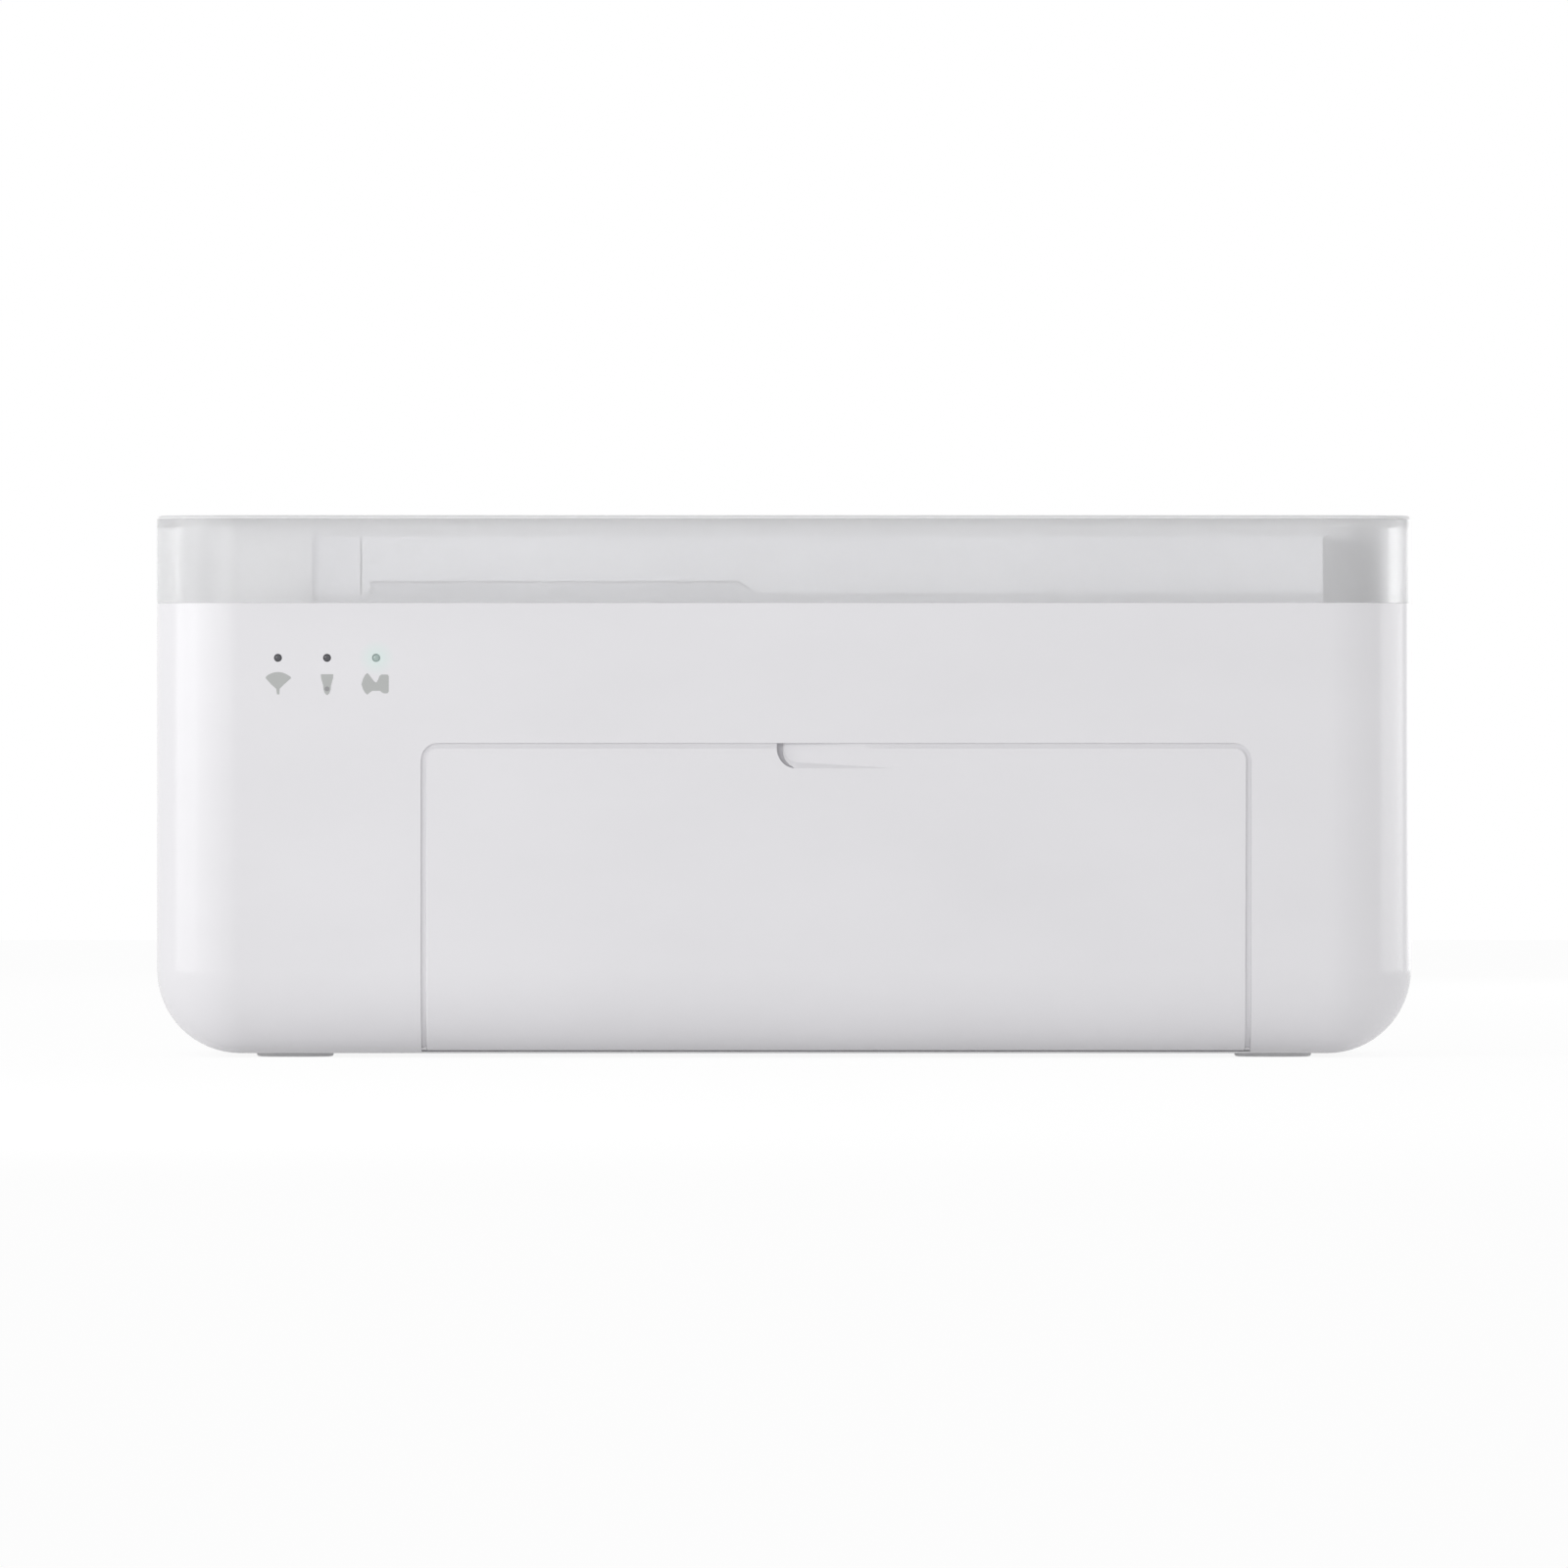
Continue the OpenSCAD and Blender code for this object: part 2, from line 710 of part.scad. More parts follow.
module cassette_cover() {
    x = cass_end_x + 0.2;
    color("whitesmoke") difference() {
        block([x, cass_x1], [cass_y0, cass_y1], [cass_split, cass_top]);
        block([x - over, cass_x1 - cass_wall], [cass_y0 + cass_wall, cass_y1 - cass_wall],
            [cass_split - over, cass_top - cass_wall]);
        cassette_notch([cass_y0 - over, cass_y0 + cass_wall + over], 0);
    }
}

module paper_lift_plate() {
    x = cass_x0 + cass_wall + 1;
    color("silver") block([x, x + paper_l - 1], [-paper_w / 2 + 3, paper_w / 2 - 6],
        [lift_z, lift_z + 1]);
}

module lift_plate_spring() {
    color("silver") translate([cass_x0 + 60, -1.5, well_floor + cass_wall + wire_r])
        coil(4, wire_r, 0.62, 2);
}

module photo_paper_stack() {
    x = cass_x0 + cass_wall + 0.5;
    y = cass_y0 + cass_wall + 0.4;
    color("white") block([x, x + paper_l], [y, y + paper_w], [lift_z + 1, lift_z + 1 + paper_stack]);
}

// ---- Chassis ----

module cassette_rails() {
    color("gainsboro") for (side = [-1, 1]) mirror([side < 0 ? 1 : 0, 0, 0])
        translate([side * paper_x, 0, 0]) {
            block([rail_x, rail_x + 1.6], [frame_y0, -9], [plate_top, rail_z + 9]);
            block([rail_x - 3, rail_x], [frame_y0, -9], [rail_z - 1.2, rail_z]);
        }
}

// The outline and shaft holes that both side frames share
module side_frame(x) {
    difference() {
        union() {
            block([x, x + frame_t], [frame_y0, frame_y1], [plate_top, frame_top]);
            children(0);
        }
        for (at = [platen_at, capstan_at, eject_at, arm_at])
            rod_x(at, shaft_r + run_fit, x - over, x + frame_t + over);
        for (at = [pinch_at, idler_at])
            rod_x(at, thin_shaft_r + run_fit, x - over, x + frame_t + over);
        rod_x(head_axis, head_shaft_r, x - over, x + frame_t + over);
        block([x - over, x + frame_t + over], [frame_foot_y1, frame_y1 + over],
            [0, plate_top + frame_foot_h]);
        children(1);
    }
}

// A bent tab at the foot of a side frame, on either side of its sheet
module frame_tabs(x0, x1) {
    for (y = tab_ys) block([x0, x1], [y - 4, y + 4], [plate_top, plate_top + frame_t]);
}

module left_side_frame() {
    x = frame_l - frame_t;
    color("silver") side_frame(x) {
        frame_tabs(x - 8, x + 0.5);
        union() {
            rod_x(stud_at, stud_r, x - over, frame_l + over);
            rod_x(takeup_at, 2.1, x - over, frame_l + over);
            for (y = tab_ys) rod_z(x - 4.5, y, 1, plate_z, plate_top + 2 * frame_t);
        }
    }
}

module right_side_frame() {
    color("silver") side_frame(frame_r) {
        frame_tabs(frame_r + 1, frame_r + frame_t + 8);
        union() {
            block([frame_r - over, frame_r + frame_t + over], [-22, 49.6], [38, 57.2]);
            for (y = tab_ys) rod_z(frame_r + frame_t + 4.5, y, 1, plate_z, plate_top + 2 * frame_t);
        }
    }
}

module tie_bars() {
    color("silver") for (at = tie_ats) rod_x(at, 1.8, frame_l, frame_r);
}

module frame_screws() {
    color("gray") for (x = [frame_l - frame_t - 4.5, frame_r + frame_t + 4.5])
        for (y = tab_ys) {
            rod_z(x, y, 1.9, plate_top + frame_t, plate_top + frame_t + 1.1);
            rod_z(x, y, 1, plate_top, plate_top + frame_t);
        }
}

module paper_guide() {
    half = paper_w / 2 + 2;
    color("gainsboro") along_x(paper_x - half, paper_x + half) {
        polygon([[-33, path_z - 1.6], [-6, path_z - 1.6], [-6, path_z - 0.6], [-33, path_z - 0.6]]);
        polygon([[-7, 7], [-5, 7], [8, path_z - 2], [6, path_z - 2]]);
    }
}

// ---- Rollers ----

// A roller between the side frames, on a shaft that runs in both
module roller(at, r, core_r, past_l, past_r) {
    rod_x(at, core_r, frame_l - frame_t - past_l, frame_r + frame_t + past_r);
    rod_x(at, r, paper_x - roller_half, paper_x + roller_half);
}

module platen_roller() {
    color("dimgray") roller(platen_at, platen_r, shaft_r, shaft_past, shaft_past);
}

module capstan_roller() {
    color("silver") roller(capstan_at, capstan_r, shaft_r, 1.5 + gear_w - clear, shaft_past + 4);
    color("dimgray") rod_x(capstan_at, pulley_r, belt_x[0], belt_x[1]);
}

module capstan_gear() {
    color("white") difference() {
        gear_x(capstan_at, capstan_teeth, 150 + 180 / capstan_teeth, small_x + [clear, 0]);
        rod_x(capstan_at, shaft_r, small_x[0] - over, small_x[1] + over);
    }
}

module pinch_roller() {
    color("dimgray") roller(pinch_at, pinch_r - 0.1, thin_shaft_r, shaft_past, shaft_past);
}

module eject_roller() {
    color("silver") rod_x(eject_at, shaft_r, frame_l - frame_t - shaft_past, frame_r + frame_t + 5);
    color("dimgray") {
        rod_x(eject_at, pulley_r, belt_x[0], belt_x[1]);
        for (x = roller_xs) rod_x(eject_at, eject_r, paper_x + x - 8, paper_x + x + 8);
    }
}

module eject_idlers() {
    color("gainsboro") {
        rod_x(idler_at, thin_shaft_r, frame_l - frame_t - 1, frame_r + frame_t + 1);
        for (x = roller_xs) rod_x(idler_at, idler_r, paper_x + x - 6, paper_x + x + 6);
    }
}

// Flat loop round the two pulleys
module belt_loop(grow) {
    hull_y = [eject_at[0], capstan_at[0]];
    mid = (eject_at + capstan_at) / 2;
    r = pulley_r + 0.1 + grow;
    for (at = [eject_at, capstan_at]) translate(at) circle(r);
    translate(mid - [(hull_y[1] - hull_y[0]) / 2, r]) square([hull_y[1] - hull_y[0], 2 * r]);
}

module drive_belt() {
    color("dimgray") along_x(belt_x[0] + 0.3, belt_x[1] - 0.3) difference() {
        belt_loop(0.9);
        belt_loop(0);
    }
}

module pickup_arm() {
    color("gainsboro") {
        rod_x(arm_at, shaft_r, frame_l - frame_t - 1, frame_r + frame_t + 1);
        for (x = [-20, 20]) difference() {
            along_x(paper_x + x - 1.2, paper_x + x + 1.2) union() {
                translate(arm_at) circle(3.6);
                translate(pickup_at) circle(3);
                polygon([arm_at + [-0.5, -3], pickup_at + [0, -2.2],
                    pickup_at + [0, 2.2], arm_at + [0.5, 3]]);
            }
            rod_x(pickup_at, thin_shaft_r + run_fit, paper_x + x - 3, paper_x + x + 3);
        }
    }
}

module pickup_roller() {
    color("silver") rod_x(pickup_at, thin_shaft_r, paper_x - 23, paper_x + 23);
    color("dimgray") for (x = [-13, 13])
        rod_x(pickup_at, pickup_r, paper_x + x - 5, paper_x + x + 5);
}

// ---- Print head ----

module head_pivot_shaft() {
    color("silver") rod_x(head_axis, head_shaft_r, frame_l - frame_t, frame_r + frame_t);
}

module thermal_head() {
    color("ivory") block([paper_x - head_half, paper_x + head_half], head_y, [head_z0, sink_z[0]]);
}

module head_heatsink() {
    color("silver") difference() {
        block([paper_x - head_half - 1, paper_x + head_half + 1], sink_y, sink_z);
        for (i = [0:fin_count - 1]) let (x = paper_x - head_half + 3 + i * fin_pitch)
            block([x, x + fin_pitch - 2], [sink_y[0] - over, sink_y[1] - 2], [sink_z[0] + 6, sink_z[1] - 3]);
    }
}

module head_arms() {
    color("gray") for (x = [frame_l + 3, frame_r - 5]) difference() {
        union() {
            rod_x(head_axis, head_boss_r, x, x + 2);
            block([x, x + 2], [sink_y[0], head_axis[0]], arm_z);
        }
        rod_x(head_axis, head_shaft_r + run_fit, x - over, x + 3);
    }
    color("gray") block([frame_l + 3, frame_r - 3], sink_y, [sink_z[1], arm_z[1]]);
}

module head_springs() {
    color("silver") for (x = [paper_x - 30, paper_x + 30])
        translate([x, 14, arm_z[1] + wire_r + 0.1]) coil(3, wire_r, 0.64, 5);
}

// ---- Ribbon ----

// End plate of the cartridge, with the bearings of both spools
module cartridge_end(x) {
    difference() {
        block([x, x + 1.5], [takeup_at[0] - 11, supply_at[0] + 11], [37.8, 56]);
        for (at = [supply_at, takeup_at]) rod_x(at, journal_r + run_fit, x - over, x + 3);
    }
}

// Half shell round the outer side of a spool; side -1 is the front one
module spool_shell(at, side) {
    outer = spool_room_r + spool_wall;
    edge = at[0] + side * 4;
    along_x(frame_l + 3.5, frame_r - 3.5) intersection() {
        difference() {
            translate(at) circle(outer - 0.1);
            translate(at) circle(spool_room_r);
        }
        translate([side > 0 ? edge : edge - outer, 37.8]) square([outer, 56 - 37.8]);
    }
}

module ribbon_cartridge() {
    color("dimgray") {
        cartridge_end(frame_l + 2);
        cartridge_end(frame_r - 3.5);
        spool_shell(supply_at, 1);
        spool_shell(takeup_at, -1);
        difference() {
            block([frame_r - 2, grip_x1], [4, 28], [41, 53]);
            block([frame_r + 4, grip_x1 - 2], [6, 26], [43, 53 + over]);
        }
    }
}

// A spool between the cartridge's ends, with the ribbon wound on it
module spool(at, wound_r) {
    rod_x(at, journal_r, frame_l + 2, frame_r - 2);
    rod_x(at, 4, frame_l + 3.8, frame_r - 3.8);
    rod_x(at, wound_r, paper_x - 51, paper_x + 51);
}

module supply_spool() {
    color("goldenrod") spool(supply_at, supply_r);
}

module takeup_spool() {
    color("darkorange") spool(takeup_at, takeup_r);
}

module ribbon_film() {
    nose_front = [head_y[0] - 1, film_z];
    nose_rear = [head_y[1] + 1, film_z];
    front = touch(nose_front, takeup_at, takeup_r + clear, -1);
    rear = touch(nose_rear, supply_at, supply_r + clear, 1);
    up = [0, film_t];
    color("orchid") along_x(paper_x - 50, paper_x + 50)
        polygon([front, nose_front, nose_rear, rear, rear + up, nose_rear + up,
            nose_front + up, front + up]);
}

// ---- Drive ----

module drive_motor() {
    color("silver") {
        rod_x(motor_at, motor_r, motor_x[0], motor_x[1]);
        rod_x(motor_at, 3, motor_x[0] - 1.5, motor_x[0]);
    }
}

module motor_bracket() {
    color("gray") difference() {
        union() {
            block([motor_x[1], motor_x[1] + frame_t], span(motor_at[0], 12.6),
                span(motor_at[1], 12.6));
            for (z = [-9.5, 9.5])
                rod_x(motor_at + [-10, z], 1.8, motor_x[1], frame_l - frame_t);
        }
        rod_x(motor_at, 3, motor_x[1] - over, motor_x[1] + 3);
    }
}

module motor_pinion() {
    color("gold") {
        gear_x(motor_at, pinion_teeth, 20, large_x);
        rod_x(motor_at, 1, motor_x[1], large_x[0]);
    }
}

module reduction_gear() {
    color("white") difference() {
        union() {
            gear_x(stud_at, wheel_teeth, 200 + 180 / wheel_teeth, large_x);
            gear_x(stud_at, small_teeth, 330, small_x);
        }
        rod_x(stud_at, stud_r + run_fit, large_x[0] - over, small_x[1] + over);
    }
}

module gear_stud() {
    color("silver") {
        rod_x(stud_at, stud_r, large_x[0] - 0.6, frame_l);
        rod_x(stud_at, stud_r + 1.2, large_x[0] - 1.2, large_x[0] - 0.2);
    }
}

module ribbon_motor() {
    color("gray") {
        rod_x(takeup_at, 5.6, frame_l - frame_t - 8.5, frame_l - frame_t);
        rod_x(takeup_at, 2.1, frame_l - frame_t, frame_l);
        rod_x(takeup_at, 1.6, frame_l, frame_l + 1.6);
    }
}

// ---- Fan, boards and sockets ----

module fan_housing() {
    color("dimgray") difference() {
        upright_plate(fan_at[0] - fan_half, fan_at[0] + fan_half, fan_at[1] - fan_half,
            fan_at[1] + fan_half, fan_y[1], fan_y[1] - fan_y[0], fan_corner_r);
        difference() {
            rod_y(fan_at[0], fan_at[1], fan_bore_r, fan_y[0] - over, fan_y[1] + over);
            rod_y(fan_at[0], fan_at[1], 5, fan_y[0] - 2 * over, fan_y[0] + 1.5);
            for (a = [45, 165, 285]) translate([fan_at[0], 0, fan_at[1]]) rotate([0, a, 0])
                block([0, fan_bore_r + over], [fan_y[0] - over, fan_y[0] + 1.5], [-1, 1]);
        }
        rod_y(fan_at[0], fan_at[1], 1 + run_fit, fan_y[0] - over, fan_y[0] + 2);
    }
}

module fan_rotor() {
    color("dimgray") translate([fan_at[0], 0, fan_at[1]]) {
        rod_y(0, 0, 5.5, fan_y[0] + 2, fan_y[1] - 0.8);
        rod_y(0, 0, 1, fan_y[0], fan_y[0] + 2);
        for (k = [0:6]) rotate([0, k * 360 / 7, 0]) translate([4, (fan_y[0] + fan_y[1]) / 2 + 0.5, 0])
            rotate([38, 0, 0]) block([0, fan_bore_r - 5], [-0.5, 0.5], [-3.2, 3.2]);
    }
}

module main_board() {
    color("seagreen") {
        block(board_x, [-46, board_step[1]], board_z);
        block([board_step[0], board_x[1]], [board_step[1], inner_y - 1], board_z);
    }
    color("dimgray") {
        block([-86, -74], [-18, -6], [board_z[1], board_z[1] + 1.4]);
        block([-84, -76], [4, 16], [board_z[1], board_z[1] + 1.2]);
        block([-90, -70], [24, 30], [board_z[1], board_z[1] + 5]);
    }
}

module power_board() {
    color("seagreen") block([78, 92], [-38, 42], [9, 10.4]);
    color("dimgray") {
        for (y = [-28, -14]) rod_z(85, y, 4.5, 10.4, 21);
        block([80, 90], [4, 18], [10.4, 19]);
        block([79, 91], [26, 36], [10.4, 15]);
    }
    color("gray") for (y = [-34, 38]) rod_z(plate_x + 2.3, y, 2, floor_z, 9);
}

module dc_inlet() {
    y = half_d - 0.4;
    z = socket_z + dc_h / 2;
    color("dimgray") difference() {
        union() {
            block([dc_x - 4.6, dc_x + 4.6], [y - 13, inner_y - 0.5], [socket_z, socket_z + dc_h]);
            rod_y(dc_x, z, dc_collar_r - 0.1, inner_y - over, y);
        }
        rod_y(dc_x, z, dc_bore_r, y - 9.5, y + over);
    }
    color("silver") rod_y(dc_x, z, 1, y - 11, y - 1);
}

module usb_port() {
    y = half_d - 1.2;
    color("silver") difference() {
        block([usb_x - 4.5, usb_x + 4.5], [y - 7.4, y], [socket_z, socket_z + 3.3]);
        block([usb_x - 4.1, usb_x + 4.1], [y - 6, y + over], [socket_z + 0.4, socket_z + 2.9]);
    }
    color("dimgray") block([usb_x - 3.2, usb_x + 3.2], [y - 6.2, y - 1], [socket_z + 1.3, socket_z + 2]);
}

// Flat cable from the main board up to the indicator board
module flat_cable() {
    y = -inner_y + 7.2;
    color("gainsboro") block([-80, -68], [y, y + 0.4], [board_z[1], 58]);
    color("gainsboro") block([-80, -68], [y, y + 6], [board_z[1], board_z[1] + 0.4]);
}

body_shell();
base_plate();
rubber_feet();
base_screws();
top_deck();
top_lid();
lid_hinge_pins();
front_flap();
flap_pivot_pins();
flap_catch();
ribbon_door();
ribbon_door_pins();
ribbon_door_catch();
power_button();
button_switch();
indicator_light_pipes();
indicator_board();
cassette_tray();
cassette_cover();
paper_lift_plate();
lift_plate_spring();
photo_paper_stack();
cassette_rails();
left_side_frame();
right_side_frame();
tie_bars();
frame_screws();
paper_guide();
platen_roller();
capstan_roller();
capstan_gear();
pinch_roller();
eject_roller();
eject_idlers();
drive_belt();
pickup_arm();
pickup_roller();
head_pivot_shaft();
thermal_head();
head_heatsink();
head_arms();
head_springs();
ribbon_cartridge();
supply_spool();
takeup_spool();
ribbon_film();
drive_motor();
motor_pinion();
motor_bracket();
reduction_gear();
gear_stud();
ribbon_motor();
fan_housing();
fan_rotor();
main_board();
power_board();
dc_inlet();
usb_port();
flat_cable();
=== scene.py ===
"""Looks of the compact photo printer: its skins, prints and finishes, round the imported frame.

Shapes are worked out in millimetres in the row frame and turned into metres when a mesh
is made. X is to the right, Y to the back and Z up; the front flap faces -Y.
"""
import json
import math

import bmesh
import bpy
from mathutils import Matrix, Vector


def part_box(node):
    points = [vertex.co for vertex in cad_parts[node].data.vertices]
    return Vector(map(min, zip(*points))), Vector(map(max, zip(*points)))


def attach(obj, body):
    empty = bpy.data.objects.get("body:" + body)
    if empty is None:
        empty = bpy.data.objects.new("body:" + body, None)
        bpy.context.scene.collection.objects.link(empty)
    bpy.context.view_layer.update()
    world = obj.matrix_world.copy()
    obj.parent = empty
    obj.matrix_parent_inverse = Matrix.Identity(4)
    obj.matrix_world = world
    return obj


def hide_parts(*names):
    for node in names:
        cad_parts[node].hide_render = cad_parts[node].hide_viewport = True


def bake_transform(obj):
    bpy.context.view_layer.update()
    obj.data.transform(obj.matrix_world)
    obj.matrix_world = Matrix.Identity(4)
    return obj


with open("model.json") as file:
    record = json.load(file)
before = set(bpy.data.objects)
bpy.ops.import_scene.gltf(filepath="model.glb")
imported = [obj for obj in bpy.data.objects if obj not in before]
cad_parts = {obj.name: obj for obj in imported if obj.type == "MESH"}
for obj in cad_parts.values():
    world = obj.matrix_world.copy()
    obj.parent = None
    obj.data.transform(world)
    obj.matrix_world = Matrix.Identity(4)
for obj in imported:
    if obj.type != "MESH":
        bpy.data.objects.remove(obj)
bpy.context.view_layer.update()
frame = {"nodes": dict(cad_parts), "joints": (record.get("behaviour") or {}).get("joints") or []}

MM = 0.001
NODES = frame["nodes"]


# ---- Where the frame says things are, in millimetres ----

def node_box(node):
    """A CAD node's lowest and highest corners in millimetres."""
    low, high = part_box(node)
    return low / MM, high / MM


def joint_place(name):
    """Where a hinge's axis is, in millimetres."""
    joint = next(j for j in frame["joints"] if j["name"] == name)
    return Vector(joint["pos_m"]) / MM


CASE_LOW, CASE_HIGH = node_box("body_shell")
LID_LOW, LID_HIGH = node_box("top_lid")
FLAP_LOW, FLAP_HIGH = node_box("front_flap")
DOOR_LOW, DOOR_HIGH = node_box("ribbon_door")
TRAY_LOW, TRAY_HIGH = node_box("cassette_tray")
COVER_LOW, COVER_HIGH = node_box("cassette_cover")
LID_AXIS = joint_place("lid_hinge")
FLAP_AXIS = joint_place("flap_hinge")
DOOR_AXIS = joint_place("ribbon_door_hinge")

HALF_W, HALF_D = CASE_HIGH.x, CASE_HIGH.y
CASE_BOTTOM, CASE_TOP = CASE_LOW.z, CASE_HIGH.z
CASE_R, CASE_WALL, RIM_R = 13.0, 2.2, 0.25
LID_WALL, LID_TOP_T = 3.4, 1.6
GAP, DOOR_GAP, SEAM = 0.8, 0.6, 0.01
# The skins lie this far inside the CAD faces, so that the prints on them stay in the box
SKIN_INSET, PRINT_T = 0.03, 0.02
# How far past a face a cutter reaches
PAST = 1
CORNER_STEPS = 24
# The matt step in the gap round the flap and the door, and what is left open beside it
STEP_DEPTH, STEP_GAP = 0.35, 0.012

# Where the CAD puts the small features, in millimetres
KNUCKLE_R, LUG_W, EAR_W, SWEEP_R, FLAP_LIP_Y = 2.4, 3.0, 3.0, 7.9, -49.4
FLAP_PIN_R, FLAP_BORE_R, FLAP_PIN_REACH = 1.25, 1.3, 8
FLAP_CORNER_R, FLAP_HOLE_CORNER_R = 1.8, 2.6
SCOOP_X, SCOOP_W, SCOOP_H, SCOOP_DEPTH, SCOOP_WALL = -1.1, 18.7, 3.1, 1.1, 1.1
POCKET_W, POCKET_DEPTH = 0.95, 1.9
DOOR_KNUCKLE_W, DOOR_KNUCKLE_R, DOOR_RELIEF_R = 4.0, 1.9, 2.05
DOOR_PIN_R, DOOR_BORE_R, DOOR_PIN_REACH, BORE_DEPTH = 0.9, 0.95, 4.9, 5
LID_HINGE_XS, LID_LUG_W, LID_BOSS_W, LID_PLAY = (-70.0, 70.0), 4.0, 4.0, 0.4
LID_RELIEF_R, LID_BORE_R = 2.6, 1.05
BUTTON_AT, BUTTON_R, BUTTON_HOLE_R, BUTTON_FLANGE_R = (-38.0, 54.0), 5.1, 5.3, 6.2
DOT_XS, DOT_Z, DOT_R = (-78.3, -70.7, -63.1), 61.9, 0.62
# Openings in the back: from and to in x and z, and the radius of their corners
PAPER_SLOT, USB_SLOT = (8.05 - 53, 8.05 + 53, 29.5, 36, 1.5), (-71.0 - 5.2, -71.0 + 5.2, 47.1, 51.4, 1.8)
DC_AT, DC_COLLAR_R = (-82.0, 52.6), 4
VENT_W, VENT_R = 1.8, 0.85
REAR_VENTS, FLOOR_VENTS = range(-88, -63, 4), range(-16, 9, 4)
SCREW_AT = [(x, y) for x in (-66, 0, 66) for y in (-40, 40)]
SCREW_R, SCREW_HEAD_R, SCREW_RECESS = 1.4, 2.6, 1.2
FEET_AT = [(x, y) for x in (-76, 76) for y in (-38, 38)]
FOOT_R, FOOT_RECESS = 6, 0.8


# ---- Mesh helpers, in millimetres ----

def link(mesh_object):
    bpy.context.scene.collection.objects.link(mesh_object)
    return mesh_object


def solid(name, vertices, faces):
    """A mesh object from points in millimetres, its doubled points merged and its faces turned outwards."""
    mesh = bpy.data.meshes.new(name)
    mesh.from_pydata([Vector(v) * MM for v in vertices], [], faces)
    shape = bmesh.new()
    shape.from_mesh(mesh)
    bmesh.ops.remove_doubles(shape, verts=shape.verts, dist=1e-7)
    bmesh.ops.dissolve_degenerate(shape, edges=shape.edges, dist=1e-7)
    bmesh.ops.recalc_face_normals(shape, faces=shape.faces)
    shape.to_mesh(mesh)
    shape.free()
    return link(bpy.data.objects.new(name, mesh))


def plan_ring(half_w, half_d, r, z):
    """A round-cornered rectangle at height z, anticlockwise from above."""
    points = []
    for quarter, (sx, sy) in enumerate(((1, 1), (-1, 1), (-1, -1), (1, -1))):
        for step in range(CORNER_STEPS + 1):
            a = (quarter + step / CORNER_STEPS) * math.pi / 2
            points.append((sx * (half_w - r) + r * math.cos(a), sy * (half_d - r) + r * math.sin(a), z))
    return points


def circle(centre, r, count):
    turns = [k * math.tau / count for k in range(count)]
    return [(centre[0] + r * math.cos(a), centre[1] + r * math.sin(a)) for a in turns]


def arc(centre, r, start, stop, steps):
    """Points from one angle to another, in degrees."""
    turns = [math.radians(start + (stop - start) * k / steps) for k in range(steps + 1)]
    return [(centre[0] + r * math.cos(a), centre[1] + r * math.sin(a)) for a in turns]


def loft(name, rings, closed=False):
    """A skin through equal rings of points; its two ends are capped unless the rings close."""
    count = len(rings[0])
    vertices = [p for ring in rings for p in ring]
    faces = []
    spans = len(rings) if closed else len(rings) - 1
    for i in range(spans):
        a, b = i * count, (i + 1) % len(rings) * count
        for k in range(count):
            n = (k + 1) % count
            faces.append((a + k, a + n, b + n, b + k))
    if not closed:
        faces.append(tuple(range(count - 1, -1, -1)))
        faces.append(tuple(range(len(vertices) - count, len(vertices))))
    return solid(name, vertices, faces)


def prism(name, outline, place, depth):
    """An outline of [u, v] points pulled from depth[0] to depth[1]; place(u, v, w) puts a point in space."""
    return loft(name, [[place(u, v, w) for u, v in outline] for w in depth])


# Places for an outline: [u, v] across the axis that it is pulled along, and w along it

def along_x(u, v, w):
    return (w, u, v)


def along_y(u, v, w):
    return (u, w, v)


def along_z(u, v, w):
    return (u, v, w)


def block(name, low, high):
    return prism(name, [(low[0], low[1]), (high[0], low[1]), (high[0], high[1]), (low[0], high[1])],
                 along_z, (low[2], high[2]))


def rod(at, r, depth, place, count=48):
    """A round cutter; at is its centre in the two axes across it."""
    return prism("cut", circle(at, r, count), place, depth)


def turned(name, profile, at, place, count):
    """A solid of revolution: profile holds (radius, height) pairs from one end to the other."""
    return loft(name, [[place(u, v, w) for u, v in circle(at, r, count)] for r, w in profile])


def round_outline(u0, u1, v0, v1, r):
    """A rectangle with round corners, anticlockwise."""
    points = []
    centres = ((u1 - r, v1 - r), (u0 + r, v1 - r), (u0 + r, v0 + r), (u1 - r, v0 + r))
    for quarter, centre in enumerate(centres):
        points += arc(centre, r, quarter * 90, quarter * 90 + 90, 8)
    return points


def joined(name, parts):
    """Several mesh objects made one."""
    shape = bmesh.new()
    for part in parts:
        shape.from_mesh(part.data)
        bpy.data.objects.remove(part)
    mesh = bpy.data.meshes.new(name)
    shape.to_mesh(mesh)
    shape.free()
    return link(bpy.data.objects.new(name, mesh))


def applied(body):
    """The object's mesh with its modifiers worked into it."""
    bpy.context.view_layer.update()
    final = bpy.data.meshes.new_from_object(body.evaluated_get(bpy.context.evaluated_depsgraph_get()))
    body.modifiers.clear()
    old = body.data
    body.data = final
    bpy.data.meshes.remove(old)
    return body


def combine(body, parts, operation):
    """Adds parts to body or cuts them out of it. The parts don't touch one another."""
    tool = joined("tool", parts)
    modifier = body.modifiers.new(operation, "BOOLEAN")
    modifier.operation, modifier.solver, modifier.object = operation, "EXACT", tool
    applied(body)
    bpy.data.objects.remove(tool)


def cut(body, *parts):
    combine(body, parts, "DIFFERENCE")


def add(body, *parts):
    combine(body, parts, "UNION")


def edited(body, change):
    """The object with its mesh changed by a function of a bmesh."""
    shape = bmesh.new()
    shape.from_mesh(body.data)
    change(shape)
    shape.to_mesh(body.data)
    shape.free()
    return body


